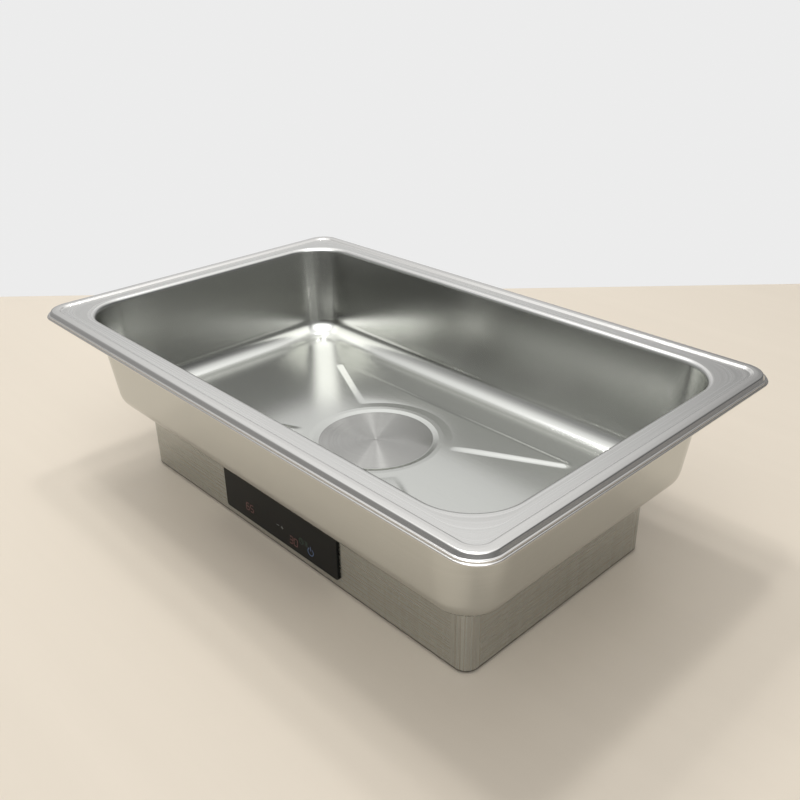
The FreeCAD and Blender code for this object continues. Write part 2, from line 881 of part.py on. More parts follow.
def blade_section(radius, twist, chord, level):
    """Closed curved section of a blade at a radius, in the plane across its radial line."""
    camber = 0.08 * chord
    half = chord / 2
    thick = blade_thickness / 2

    def place(along, across):
        angle = math.radians(twist)
        return Vector(radius, along * math.cos(angle) - across * math.sin(angle),
                      level + along * math.sin(angle) + across * math.cos(angle))

    upper = Part.Arc(place(-half, thick / 2), place(0, camber + thick), place(half, thick / 2)).toShape()
    tail = Part.LineSegment(place(half, thick / 2), place(half, -thick / 2)).toShape()
    lower = Part.Arc(place(half, -thick / 2), place(0, camber - thick), place(-half, -thick / 2)).toShape()
    nose = Part.LineSegment(place(-half, -thick / 2), place(-half, thick / 2)).toShape()
    return Part.Wire([upper, tail, lower, nose])


def fan_rotor():
    """Hub cup with a shaft and twisted blades."""
    low = plate_top + motor_plate + hub_gap
    high = hub_top()
    cup = turned([(0, plate_top + 1 + hub_gap), (shaft_radius, plate_top + 1 + hub_gap),
                  (shaft_radius, high - hub_wall), (hub_radius - hub_wall, high - hub_wall),
                  (hub_radius - hub_wall, low), (hub_radius, low), (hub_radius, high - 1),
                  (hub_radius - 1, high), (0, high)], fan_x, fan_y)
    tip = fan_bore - blade_clearance
    level = (low + high) / 2
    root_chord = 0.62 * (high - low) / math.sin(math.radians(blade_twist_root))
    tip_chord = 0.80 * (high - low) / math.sin(math.radians(blade_twist_root))
    blade = Part.makeLoft([blade_section(hub_radius - hub_wall / 2, blade_twist_root, root_chord, level),
                           blade_section(tip, blade_twist_tip, tip_chord, level)], True, True)
    blade.translate(Vector(fan_x, fan_y, 0))
    duct = rod(tip, plate_top, fan_top, fan_x, fan_y)
    blades = [copy.common(duct) for copy in turned_copies(blade, blade_count, fan_x, fan_y)]
    return joined([cup] + blades)


# Control panel


def control_lens():
    """Glossy front plate that overlaps the window all round."""
    return panel(lens_length, lens_height, lens_corner, front_face - lens_thickness, front_face,
                 0, lens_level)


def board_face():
    """Y of the control board's front face."""
    return front_face + tray_depth - control_sheet


def control_tray():
    """Moulded frame through the window, glued to the lens, with ribs for the board and four hooks."""
    length = window_length - 2 * fit_gap
    height = window_height - 2 * fit_gap
    frame = panel(length, height, window_corner - fit_gap, front_face, front_face + tray_depth, 0, lens_level)
    hollow = panel(length - 2 * tray_wall, height - 2 * tray_wall, window_corner - fit_gap - tray_wall,
                   front_face - over, front_face + tray_depth + over, 0, lens_level)
    parts = [frame.cut(hollow)]
    inside_x = length / 2 - tray_wall
    inside_z = height / 2 - tray_wall
    for side in (-1, 1):
        x = sorted((side * inside_x, side * (inside_x - control_rib)))
        parts.append(box(x[0], x[1], front_face, board_face(), lens_level - inside_z, lens_level + inside_z))
        for hook in (-hook_x, hook_x):
            edge = lens_level + side * height / 2
            z = sorted((edge - side * tray_wall, edge + side * hook_reach))
            y = front_face + base_sheet + screw_play
            parts.append(box(hook - hook_width / 2, hook + hook_width / 2, y, y + hook_depth, z[0], z[1]))
    return joined(parts)


def control_board():
    """Circuit board on the tray's ribs."""
    x = window_length / 2 - fit_gap - tray_wall - control_play
    z = window_height / 2 - fit_gap - tray_wall - control_play
    return box(-x, x, board_face(), board_face() + control_sheet, lens_level - z, lens_level + z)


def behind_lens(length, height, x, z, gap=0.0):
    """Block on the control board that reaches up to the lens, or to a gap behind it."""
    return box(x - length / 2, x + length / 2, front_face + gap, board_face(), z - height / 2, z + height / 2)


def digit_display():
    """Digit module, its face just behind the lens."""
    return behind_lens(digit_length, digit_height, digit_x, lens_level, lens_air_gap)


def touch_pads():
    """Conductive foam pads from the board to the back of the lens, one behind each key."""
    return [behind_lens(key_side, key_side, x, lens_level - key_drop) for x in key_x]


def indicator_lamps():
    """Small lamps, one above each key."""
    return [behind_lens(lamp_length, lamp_height, x, lens_level - key_drop + lamp_rise, lens_air_gap)
            for x in key_x]


# Power inlet


def inlet_pin_places():
    """Centres of the three pins: two below and the earth pin above."""
    drop = pin_offset / 2
    return [(inlet_x - pin_pitch / 2, inlet_level - drop), (inlet_x + pin_pitch / 2, inlet_level - drop),
            (inlet_x, inlet_level + drop)]


def inlet_socket():
    """Moulded snap-in inlet: a flange on the wall, a body through it with two snaps, and the mouth."""
    outer_face = rear_face + inlet_flange
    half_x = inlet_length / 2
    half_z = inlet_height / 2
    parts = [panel(inlet_flange_length, inlet_flange_height, inlet_corner, rear_face, outer_face,
                   inlet_x, inlet_level),
             panel(inlet_length, inlet_height, inlet_corner, rear_face - inlet_body_depth, rear_face,
                   inlet_x, inlet_level)]
    snap_face = rear_face - base_sheet - screw_play
    for side in (-1, 1):
        x = sorted((inlet_x + side * (half_x - inlet_wall), inlet_x + side * (half_x + inlet_snap)))
        parts.append(box(x[0], x[1], snap_face - inlet_snap_depth, snap_face,
                         inlet_level - inlet_snap_width / 2, inlet_level + inlet_snap_width / 2))
    cuts = [box(inlet_x - half_x + inlet_wall, inlet_x + half_x - inlet_wall,
                outer_face - inlet_mouth_depth, outer_face + over,
                inlet_level - half_z + inlet_wall, inlet_level + half_z - inlet_wall)]
    for x, z in inlet_pin_places():
        cuts.append(box(x - pin_width / 2, x + pin_width / 2, rear_face - inlet_body_depth - over,
                        outer_face - inlet_mouth_depth + 1, z - pin_height / 2, z + pin_height / 2))
    return joined(parts).cut(cuts)


def inlet_pins():
    """Flat pins through the back of the socket, with tails for push-on terminals."""
    pins = []
    for x, z in inlet_pin_places():
        pins.append(box(x - pin_width / 2, x + pin_width / 2, rear_face - inlet_body_depth - pin_tail,
                        rear_face + inlet_flange - pin_setback, z - pin_height / 2, z + pin_height / 2))
    return pins


PIECES = (water_pan, induction_disc, base_housing, base_plate, corner_brackets, base_screws, rubber_feet,
          pan_pads, glass_plate, locating_ring, clamp_ring, mica_sheet, induction_coil, coil_carrier,
          ferrite_bars, coil_posts, temperature_sensor, sensor_sleeve, power_board, board_posts, heat_sink,
          power_transistor, bridge_rectifier, choke, fuse_tube, fuse_clips, terminal_block, fan_frame,
          fan_stator, fan_rotor, control_lens, control_tray, control_board, digit_display, touch_pads,
          indicator_lamps, inlet_socket, inlet_pins)


def save(name, made):
    """Write one node: a single solid, or a group of separate solids."""
    shapes = [made] if isinstance(made, Part.Shape) else made
    solids = [solid for shape in shapes for solid in shape.Solids]
    shape = solids[0] if len(solids) == 1 else Part.makeCompound(solids)
    valid = all(solid.isValid() and solid.Volume > 0 for solid in solids)
    print("%-20s %3d solids %12.1f mm3%s" % (name, len(solids), shape.Volume, "" if valid else "  NOT VALID"))
    shape.exportStep(os.path.join("parts", name + ".step"))


os.makedirs("parts", exist_ok=True)
for piece in PIECES:
    save(piece.__name__, piece())
save("resonance_capacitor", capacitor(resonance_size, resonance_y))
save("filter_capacitor", capacitor(filter_size, filter_y))
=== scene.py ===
"""Dressed model of an induction chafing dish: a pressed water pan of stainless steel on its base.

Shapes are worked out in millimetres in the CAD frame and written to the meshes in metres.
The origin is on the table under the pan's centre, +Z is up and the control panel faces -Y.
"""

import math

import bmesh
import bpy
import numpy as np
from mathutils import Matrix


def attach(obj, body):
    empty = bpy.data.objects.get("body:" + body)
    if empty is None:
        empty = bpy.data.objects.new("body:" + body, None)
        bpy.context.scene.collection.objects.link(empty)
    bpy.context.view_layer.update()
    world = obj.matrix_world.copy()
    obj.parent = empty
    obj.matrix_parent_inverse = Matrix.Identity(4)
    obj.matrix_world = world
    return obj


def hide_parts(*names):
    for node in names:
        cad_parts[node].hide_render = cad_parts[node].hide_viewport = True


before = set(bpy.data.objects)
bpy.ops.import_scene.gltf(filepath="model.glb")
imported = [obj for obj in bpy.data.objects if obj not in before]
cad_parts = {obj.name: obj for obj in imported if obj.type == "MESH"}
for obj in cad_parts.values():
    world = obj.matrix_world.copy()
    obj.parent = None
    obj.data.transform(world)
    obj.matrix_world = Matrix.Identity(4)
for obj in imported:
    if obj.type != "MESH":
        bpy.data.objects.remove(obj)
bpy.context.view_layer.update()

MM = 0.001
weld_distance = 0.002
sharp_from = 38.0

# Water pan. corner_out and corner_radii say how the corner radius of its outlines changes with
# their distance out from the opening. The wall's sheet ends under_run past the foot of the floor
# fillet, sunk by lap.
opening_half = (255.0, 150.0)
floor_level = 68.0
rim_level = 168.0
pan_depth = rim_level - floor_level
wall_inset = 12.6
floor_fillet = 20.0
lip_radius = 4.6
crease_out = 15.3
corner_out = (-40.0, 4.06, 14.2, 28.2)
corner_radii = (3.0, 47.06, 11.3, 22.8)
pan_sheet = 0.8
floor_foot = 30.24
floor_foot_corner = 12.76
under_run = 1.5
lap = 0.05

# Pressed forms of the pan floor. The triangles' height comes in over fade_run from fade_start.
recess_radius = 63.0
recess_edge = 58.5
recess_floor = 53.6
recess_depth = 1.3
recess_shoulder = 0.25
recess_seam = 64.75
triangle_shift = 4.0
triangle_base = 89.0
triangle_apex = 2.3
triangle_slope = 0.504
triangle_corner = 5.5
triangle_rise = 1.4
triangle_ramp = 8.0
triangle_flank = 2.2
fade_start = 71.0
fade_run = 14.0
flank_angles = (24, 37)
flank_step = 0.22
floor_rows = 132

# Base box. fold_band is where the upright bands come in before a corner, and the next pair is how
# far
# over the feet the painted shadow ends: a dark band along the foot of the sheet, for the shade
# under it.
base_half = (219.0, 113.0)
base_corner = 11.5
base_sheet = 1.0
fold_band = (-6.0, 2.0)
foot_shadow_band = (0.7, 1.1)
foot_height = 2.0
deck_top = 65.2
deck_bend = 2.5
deck_opening = 68.0
window_half = (76.5, 20.0)
lens_level = 33.6
lens_half = (80.6, 25.0)
lens_centre = (-1.9, 34.6)
lens_corner = 3.0
lens_edge = 0.5
lens_front = -115.0
lens_back = -113.0

# Signs on the lens: figures and marks, with their places as (x, z)
mark_height = 0.05
figure_half = (2.3, 3.7)
figure_gap = 0.75
figure_bar = 1.0
figure_lean = 0.12
figure_places = (("6", -47.4, 23.8), ("5", -41.0, 23.8), ("3", 16.6, 19.6), ("0", 23.0, 19.6))
timer_place = (31.0, 25.5)
bars_place = (36.2, 24.0)
start_place = (43.4, 20.6)
minus_place = (-2.0, 25.9)

# Openings of the rear wall
inlet_centre = (95.0, 33.6)
inlet_half = (13.9, 10.0)
outlet_centre = (-140.0, 40.0)
outlet_half = (1.5, 13.0)
outlet_pitch = 7.0
outlet_slots = 12

# Round pieces, as radii and levels
foot_places = (196.0, 92.0)
foot_radius = 9.0
pad_places = (190.0, 70.0)
pad_radius = 11.0
pad_top = 67.2
screw_places = (150.0, 104.0)
screw_head = 2.9
screw_head_low = 0.2
screw_shank = 1.5
screw_end = 10.0
glass_radius = 80.0
glass_level = (56.6, 60.6)
ring_bore = 55.9
ring_mouth = 67.7
ring_lead_in = 1.6
disc_radius = 53.6
disc_level = (61.2, 65.9)

# Coil and choke. choke_span is where the winding starts and how far it goes, in degrees.
coil_level = 54.5
coil_start = 18.5
coil_step = 3.5
coil_half_turns = 10
coil_half = (2.5, 1.5)
coil_strands = 9
coil_swell = 0.06
coil_twist = 0.35
choke_place = (-100.0, 10.0)
choke_level = (11.6, 22.6)
choke_radii = (6.0, 14.0)
choke_turns = 24
choke_wire = 0.6
choke_span = (20, 320)

# Power inlet in the rear wall
wall_face = 113.0
inlet_flange = (16.25, 12.25, 3.0)
inlet_body = (13.7, 9.8, 25.0)
inlet_mouth = (12.1, 8.2, 15.0)
pin_half = (1.0, 2.0)
pin_reach = (80.0, 113.0)

# Fuse: its middle, the radii of its tube and caps, and how far each reaches along it
fuse_place = (-185.0, -58.0, 16.6)
tube_size = (2.7, 9.2)
cap_size = (3.0, 8.8, 15.0)


# Grids and paths


def stacked(*parts):
    """Arrays of coordinates, stretched to one shape and put together on a last axis."""
    return np.stack(np.broadcast_arrays(*parts), -1)


def rounded_path(corners, radii, steps=9, ease=0.35):
    """Line through corner points, each turned through an arc tangent to both sides.
    The arc of a corner starts radius times tan(half the turn) before it, and a point a little way
    off each end of the arc keeps the straight parts straight in the shading."""
    corners = np.asarray(corners, float)
    sides = np.diff(corners, axis=0)
    lengths = np.linalg.norm(sides, axis=1)
    sides = sides / lengths[:, None]
    turns = np.arctan2(sides[:-1, 0] * sides[1:, 1] - sides[:-1, 1] * sides[1:, 0],
                       (sides[:-1] * sides[1:]).sum(1))
    reach = np.concatenate([[0], np.asarray(radii) * np.tan(np.abs(turns) / 2), [0]])
    path = [corners[:1]]
    for index, (turn, radius) in enumerate(zip(turns, radii), 1):
        corner, come, go = corners[index], sides[index - 1], sides[index]
        if radius == 0:
            path.append(corner[None])
            continue
        if lengths[index - 1] - reach[index - 1] - reach[index] > 2 * ease:
            path.append((corner - come * (reach[index] + ease))[None])
        inward = np.array([-come[1], come[0]]) * np.sign(turn)
        spoke = -inward * radius
        sweep = np.linspace(0, turn, steps + 1)[:, None]
        centre = corner - come * reach[index] + inward * radius
        across = np.array([-spoke[1], spoke[0]])
        path.append(centre + spoke * np.cos(sweep) + across * np.sin(sweep))
        if lengths[index] - reach[index] - reach[index + 1] > 2 * ease:
            path.append((corner + go * (reach[index] + ease))[None])
    path.append(corners[-1:])
    return np.vstack(path)


def outline_frame(corner_steps, rear, left, front, right):
    """Weights and outward directions round a rounded rectangle, anticlockwise from the +X side.
    A point of the outline is weight times (half size less corner radius), plus direction times
    corner radius. Weights hold at +-1 in a corner and slide along a side, directions turn in a
    corner and hold along a side. The last four say where the sides are cut, as weights."""
    turn = np.linspace(0, math.pi / 2, corner_steps + 1)
    weights = []
    directions = []
    signs = ((1, 1), (-1, 1), (-1, -1), (1, -1))
    for quarter, (sign, cuts) in enumerate(zip(signs, (rear, left, front, right))):
        angle = turn + quarter * math.pi / 2
        ring = stacked(np.cos(angle), np.sin(angle))
        cuts = np.sort(cuts) if quarter > 1 else -np.sort(-np.asarray(cuts))
        side = np.empty((len(cuts), 2))
        side[:, quarter % 2] = cuts
        side[:, 1 - quarter % 2] = sign[1 - quarter % 2]
        weights += [np.tile(sign, (len(ring), 1)), side]
        directions += [ring, np.tile(ring[-1], (len(cuts), 1))]
    return np.vstack(weights).astype(float), np.vstack(directions)


def even_frame(corner_steps, long_cuts, short_cuts):
    """Outline frame whose sides are cut evenly."""
    long_side = np.linspace(-1, 1, long_cuts + 2)[1:-1]
    short_side = np.linspace(-1, 1, short_cuts + 2)[1:-1]
    return outline_frame(corner_steps, long_side, short_side, long_side, short_side)


def outline_rows(shape, half_x, half_y, corner, height):
    """One row of outline points for each set of half sizes, corner radius and height."""
    weights, directions = shape
    half_x, half_y, corner, height = stacked(half_x, half_y, corner, height).T[..., None]
    corner = corner[..., None]
    flat = weights * (stacked(half_x, half_y) - corner) + directions * corner
    return stacked(flat[..., 0], flat[..., 1], height)


def turned_rows(profile, steps, centre=(0.0, 0.0)):
    """Rows of a turned surface: each (radius, height) of the profile goes round an upright axis."""
    angle = np.arange(steps) * 2 * math.pi / steps
    radius, height = np.asarray(profile, float).T[..., None]
    return stacked(centre[0] + radius * np.cos(angle), centre[1] + radius * np.sin(angle), height)


def capped(rows):
    """Rows with a further row at each end, drawn in to the middle of the end row."""
    first = np.broadcast_to(rows[:1].mean(1, keepdims=True), rows[:1].shape)
    last = np.broadcast_to(rows[-1:].mean(1, keepdims=True), rows[-1:].shape)
    return np.concatenate([first, rows, last])


def cells(index):
    """Faces between neighbouring rows and columns of point numbers."""
    return stacked(index[:-1, :-1], index[:-1, 1:], index[1:, 1:], index[1:, :-1])


def grid(rows, loop=False, material=0, run=0.0):
    """Points and four-cornered faces of a grid whose rows go round. loop joins the last row to the
    first. material is one number, or one for each row of faces, and run is how far along the
    section each row or point lies, for the brushing that follows the rows."""
    index = np.arange(rows.shape[0] * rows.shape[1]).reshape(rows.shape[:2])
    if loop:
        index = np.vstack([index, index[:1]])
    faces = cells(np.hstack([index, index[:, :1]]))
    numbers = np.broadcast_to(np.reshape(material, (-1, 1)), faces.shape[:2])
    run = np.broadcast_to(run if np.ndim(run) == 2 else np.reshape(run, (-1, 1)), rows.shape[:2])
    return {"points": rows.reshape(-1, 3), "faces": faces.reshape(-1, 4),
            "material": numbers.ravel(), "run": run.ravel()}


def turned(profile, steps, centre=(0.0, 0.0), **options):
    """Grid of a turned surface."""
    return grid(turned_rows(profile, steps, centre), **options)


def stood_up(rows, x=0.0, z=0.0, y=0.0):
    """Closed grid of rows turned from lying flat to standing along X: +Z becomes -Y and +Y +Z."""
    rows = capped(rows)
    return grid(stacked(x + rows[..., 0], y - rows[..., 2], z + rows[..., 1]))


def outward(points, faces):
    """Faces turned so that the closed surface has a positive volume, as the sum over its triangles
    of the triple product of their corners."""
    a, b, c, d = (points[faces[:, k]] for k in range(4))
    volume = (a * np.cross(b, c)).sum() + (a * np.cross(c, d)).sum()
    return faces if volume > 0 else faces[:, ::-1]


def made(name, parts, materials, stands_for=(), body="base"):
    """Joins closed grids into one piece on a CAD body, and keeps the run of their rows on it."""
    points, faces, numbers, run = ([part[key] for part in parts]
                                   for key in ("points", "faces", "material", "run"))
    starts = np.cumsum([0] + [len(places) for places in points])
    faces = [outward(*pair) + start for *pair, start in zip(points, faces, starts)]
    mesh = bpy.data.meshes.new(name)
    mesh.from_pydata((np.vstack(points) * MM).tolist(), [], np.vstack(faces).tolist())
    for material in materials:
        mesh.materials.append(material)
    mesh.polygons.foreach_set("material_index", np.concatenate(numbers).astype(np.int32))
    mesh.attributes.new("run", "FLOAT", "POINT").data.foreach_set("value", np.concatenate(run) * MM)
    work = bmesh.new()
    work.from_mesh(mesh)
    bmesh.ops.remove_doubles(work, verts=work.verts, dist=weld_distance * MM)
    work.to_mesh(mesh)
    work.free()
    mesh.polygons.foreach_set("use_smooth", np.ones(len(mesh.polygons), bool))
    mesh.set_sharp_from_angle(angle=math.radians(sharp_from))
    mesh.update()
    piece = bpy.data.objects.new(name, mesh)
    bpy.context.scene.collection.objects.link(piece)
    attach(piece, body)
    if stands_for:
        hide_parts(*stands_for)


# Materials


def feed(tree, node, sockets):
    """Gives a node its inputs: a node socket is linked, any other value is set."""
    for key, value in sockets.items():
        if isinstance(value, bpy.types.NodeSocket):
            tree.links.new(value, node.inputs[key])
        else:
            node.inputs[key].default_value = value


def add(tree, kind, sockets=None, **settings):
    """New node with its settings and inputs."""
    node = tree.nodes.new("ShaderNode" + kind)
    for key, value in settings.items():
        setattr(node, key, value)
    feed(tree, node, sockets or {})
    return node


def calc(tree, operation, *values):
    """Result of a Math node."""
    return add(tree, "Math", dict(enumerate(values)), operation=operation).outputs[0]


def joined(tree, *values):
    """Vector of up to three numbers."""
    return add(tree, "CombineXYZ", dict(enumerate(values))).outputs[0]


def noise(tree, vector, scale, detail=2.0, **more):
    """Value of a noise texture."""
    sockets = {"Vector": vector, "Scale": scale, "Detail": detail, **more}
    return add(tree, "TexNoise", sockets).outputs[0]


def ranged(tree, value, low, high, start=0.0, end=1.0):
    """Number from low to high as value goes from start to end."""
    return add(tree, "MapRange", {"Value": value, "From Min": start, "From Max": end,
                                  "To Min": low, "To Max": high}).outputs[0]


def blended(tree, mask, low, high):
    """Colour that goes from low to high with a mask. Either may be a node socket."""
    low, high = (colour if isinstance(colour, bpy.types.NodeSocket) else (*colour, 1)
                 for colour in (low, high))
    return add(tree, "Mix", {0: mask, 6: low, 7: high}, data_type="RGBA").outputs[2]


def group(name, outputs, **numbers):
    """New shader group. It takes a Vector and numbers with these defaults, and gives numbers."""
    tree = bpy.data.node_groups.new(name, "ShaderNodeTree")
    tree.interface.new_socket("Vector", in_out="INPUT", socket_type="NodeSocketVector")
    for label, value in numbers.items():
        socket = tree.interface.new_socket(label, in_out="INPUT", socket_type="NodeSocketFloat")
        socket.default_value = value
    for label in outputs:
        tree.interface.new_socket(label, in_out="OUTPUT", socket_type="NodeSocketFloat")
    return tree, tree.nodes.new("NodeGroupInput").outputs, tree.nodes.new("NodeGroupOutput")


def brush_lines():
    """Lines left by brushing: noise drawn out along the brushing, fine lines on coarse ones.
    Vector runs along X of the brushing. Tone is 0 to 1 and Height goes to a bump."""
    tree, given, result = group("brush_lines", ("Tone", "Height"), Along=12.0, Across=900.0)
    stretch = joined(tree, given["Along"], given["Across"], given["Across"])
    lines = add(tree, "VectorMath", {0: given["Vector"], 1: stretch}, operation="MULTIPLY")
    lines = lines.outputs[0]
    coarse = noise(tree, lines, 0.25)
    fine = noise(tree, lines, 1.0, 4.0, Roughness=0.65)
    tone = calc(tree, "MULTIPLY", calc(tree, "ADD", coarse, fine), 0.5)
    feed(tree, result, {"Tone": tone, "Height": fine})
    return tree


def handling_marks():
    """Faint smears and drying marks: soft clouds broken up by finer noise. Mask is 0 to 1."""
    tree, given, result = group("handling_marks", ["Mask"], Scale=9.0)
    cloud = noise(tree, given["Vector"], given["Scale"], 5.0, Roughness=0.6, Distortion=0.4)
    feed(tree, result, {"Mask": ranged(tree, cloud, 0.0, 1.0, 0.42, 0.68)})
    return tree


def moulded_grain():
    """Fine even grain of a mould or a cast face as Height, and slow changes of tone."""
    tree, given, result = group("moulded_grain", ("Tone", "Height"), Scale=1500.0)
    feed(tree, result, {"Tone": noise(tree, given["Vector"], 25.0, 3.0),
                        "Height": noise(tree, given["Vector"], given["Scale"], 3.0)})
    return tree


BRUSH = brush_lines()
MARKS = handling_marks()
GRAIN = moulded_grain()


def placed(tree, effect, vector, **sockets):
    """Outputs of a shared effect, placed in a material with its own values."""
    node = tree.nodes.new("ShaderNodeGroup")
    node.node_tree = effect
    feed(tree, node, {"Vector": vector, **sockets})
    return node.outputs


def surface(name, **sockets):
    """New material, its tree, its Principled shader with the plain values given, and its Object
    coordinates."""
    material = bpy.data.materials.new(name)
    material.use_nodes = True
    tree = material.node_tree
    shader = tree.nodes["Principled BSDF"]
    feed(tree, shader, {key.replace("_", " "): value for key, value in sockets.items()})
    return material, tree, shader, add(tree, "TexCoord").outputs["Object"]


def finished(material, shader, colour, rough, height, strength, distance=0.0001):
    """Feeds colour, roughness and a bump into a shader, and returns its material."""
    tree = material.node_tree
    bump = add(tree, "Bump", {"Height": height, "Strength": strength, "Distance": distance})
    feed(tree, shader, {"Base Color": colour, "Roughness": rough, "Normal": bump.outputs[0]})
    return material


def row_run(tree):
    """How far along the section each row of the mesh lies."""
    return add(tree, "Attribute", attribute_name="run").outputs["Fac"]


def brushed_steel(name, dark, light, rough, along=18.0, across=2200.0, bump=0.05, marks=0.02,
                  rows=True):
    """Stainless steel with lines along the rows of its mesh, or along X, under faint marks."""
    material, tree, shader, place = surface(name, Metallic=1.0)
    x, y, z = add(tree, "SeparateXYZ", {0: place}).outputs
    level = (calc(tree, "ADD", x, y), row_run(tree)) if rows else (x, calc(tree, "ADD", y, z))
    lines = placed(tree, BRUSH, joined(tree, *level), Along=along, Across=across)
    base = ranged(tree, lines["Tone"], *rough, 0.3, 0.7)
    worn = ranged(tree, placed(tree, MARKS, place)["Mask"], 0.0, marks)
    return finished(material, shader, blended(tree, lines["Tone"], dark, light),
                    calc(tree, "ADD", base, worn), lines["Height"], bump)


def box_steel(name, dark, light, edge, rough):
    """Sheet steel of the box: level brushing lines, which upright bands cover where the sheet is
    folded, and a painted shadow along the foot: a dark band in the colour edge, for the shade
    there."""
    material, tree, shader, place = surface(name, Metallic=1.0)
    split = add(tree, "SeparateXYZ", {0: place}).outputs
    run = row_run(tree)
    flat = calc(tree, "ADD", split[0], split[1])
    lines = placed(tree, BRUSH, joined(tree, flat, run), Along=14.0, Across=2600.0)
    bands = placed(tree, BRUSH, joined(tree, run, flat), Along=3.0, Across=420.0)
    near = [ranged(tree, calc(tree, "ABSOLUTE", split[axis]), 0.0, 1.0,
                   *((half - base_corner + off) * MM for off in fold_band))
            for axis, half in enumerate(base_half)]
    share = ranged(tree, calc(tree, "MULTIPLY", *near), 0.05, 0.85)
    strong = ranged(tree, bands["Tone"], 0.0, 1.0, 0.32, 0.68)
    faint = ranged(tree, lines["Tone"], 0.22, 0.78)
    both = add(tree, "Mix", {0: share, 2: faint, 3: strong}).outputs[0]
    # painted shadow: the colour goes to edge, dark, below these heights over the feet, for the
    # shade under the box
    foot = ranged(tree, split[2], 1.0, 0.0, *((foot_height + up) * MM for up in foot_shadow_band))
    colour = blended(tree, foot, blended(tree, both, dark, light), edge)
    return finished(material, shader, colour, ranged(tree, both, *rough, 0.3, 0.7),
                    lines["Height"], 0.08)


def disc_steel(name, dark, light):
    """Steel brushed in circles: the brushing's coordinates are the angle and the radius."""
    material, tree, shader, place = surface(name, Metallic=1.0, Anisotropic=1.0,
                                            Anisotropic_Rotation=0.25)
    x, y, _ = add(tree, "SeparateXYZ", {0: place}).outputs
    flat = add(tree, "VectorMath", {0: place, 1: (1, 1, 0)}, operation="MULTIPLY").outputs[0]
    radius = add(tree, "VectorMath", {0: flat}, operation="LENGTH").outputs["Value"]
    lines = placed(tree, BRUSH, joined(tree, calc(tree, "ARCTAN2", y, x), radius),
                   Along=0.6, Across=1800.0)
    marks = placed(tree, MARKS, place, Scale=22.0)
    tangent = add(tree, "Tangent", direction_type="RADIAL", axis="Z")
    feed(tree, shader, {"Tangent": tangent.outputs[0]})
    return finished(material, shader, blended(tree, lines["Tone"], dark, light),
                    ranged(tree, marks["Mask"], 0.22, 0.25), lines["Height"], 0.08)


def moulding(name, dark, light, rough, grain=1500.0, bump=0.2, **sockets):
    """Plastic, rubber or ceramic with a fine moulded grain."""
    material, tree, shader, place = surface(name, **sockets)
    texture = placed(tree, GRAIN, place, Scale=grain)
    return finished(material, shader, blended(tree, texture["Tone"], dark, light),
                    ranged(tree, texture["Tone"], *rough), texture["Height"], bump, 0.0002)


def lit(name, colour, strength=1.0):
    """Light through the lens: a dim diffused colour, a little uneven."""
    material, tree, shader, place = surface(name, Roughness=0.3, Emission_Strength=strength,
                                            Base_Color=(0.01, 0.01, 0.012, 1))
    uneven = blended(tree, noise(tree, place, 400.0), [0.75 * part for part in colour], colour)
    feed(tree, shader, {"Emission Color": uneven})
    return material


pan_metal = brushed_steel("satin_pan_steel", (0.52, 0.525, 0.50), (0.585, 0.59, 0.565),
                          (0.185, 0.21), along=4.0, across=1100.0, bump=0.003, marks=0.015)
flange_metal = brushed_steel("drawn_flange_steel", (0.42, 0.415, 0.40), (0.78, 0.775, 0.755),
                             (0.16, 0.34), along=3.0, across=1200.0, bump=0.08)
border_metal = brushed_steel("pressed_border_steel", (0.60, 0.59, 0.57), (0.68, 0.67, 0.65),
                             (0.16, 0.19), bump=0.02, marks=0.01)
# The recess steel is darker than the floor steel of the same sheet: painted shade that dims its
# brushed reflections.
recess_metal = disc_steel("circular_brushed_steel", (0.34, 0.337, 0.322), (0.45, 0.447, 0.43))
# the box steel's third colour is the painted shadow along the foot of the box
box_metal = box_steel("brushed_box_steel", (0.38, 0.385, 0.366), (0.52, 0.525, 0.498),
                      (0.10, 0.10, 0.09), (0.22, 0.32))
black_gloss = moulding("gloss_black_lens", (0.005, 0.006, 0.006), (0.008, 0.009, 0.009),
                       (0.05, 0.09), grain=60.0, bump=0.02, Specular_IOR_Level=0.15)
black_rubber = moulding("black_silicone", (0.02, 0.02, 0.021), (0.035, 0.035, 0.036), (0.55, 0.7))


# Water pan


def pan_shell():
    """Walls, lip, flange and border. The section of the sheet, as distance out from the opening's
    edge, height over the rim plane and radius of the bend there, goes round outlines that are
    offset by that distance."""
    foot = -floor_foot
    lean = wall_inset / pan_depth
    under = -pan_depth - pan_sheet
    section = np.array([
        (foot - under_run, -pan_depth - lap, 0), (foot, -pan_depth, 0),
        (-wall_inset, -pan_depth, floor_fillet), (0.0, 0.0, lip_radius), (crease_out, 0.0, 0.9),
        (17.1, 1.5, 1.1), (20.3, 1.63, 20.0), (23.9, 1.45, 1.5), (25.6, -2.2, 0.45),
        (27.0, -2.3, 0.45), (27.05, -3.7, 0.2), (28.2, -3.7, 0.85), (28.2, -5.5, 0.85),
        (24.5, -5.5, 0.3), (24.4, -1.2, 0.5), (23.2, 0.7, 1.0), (17.1, 0.7, 1.0),
        (crease_out, -pan_sheet, 1.5), (0.7, -pan_sheet, lip_radius - pan_sheet),
        (-wall_inset + (1 - lean) * pan_sheet, under, floor_fillet + pan_sheet),
        (foot, under, 0), (foot - under_run, under + lap, 0)])
    path = rounded_path(section[:, :2], section[1:-1, 2], steps=10)
    out, up = path.T
    corner = np.interp(out, corner_out, corner_radii)
    rows = outline_rows(even_frame(26, 22, 14), opening_half[0] + out, opening_half[1] + out,
                        corner, rim_level + up)
    steps = np.linalg.norm(np.diff(path, axis=0), axis=1)
    middle = (out + np.roll(out, -1)) / 2
    return grid(rows, loop=True, run=np.concatenate([[0], np.cumsum(steps)]),
                material=np.where(middle > crease_out, 1, np.where(middle > 0.5, 2, 0)))


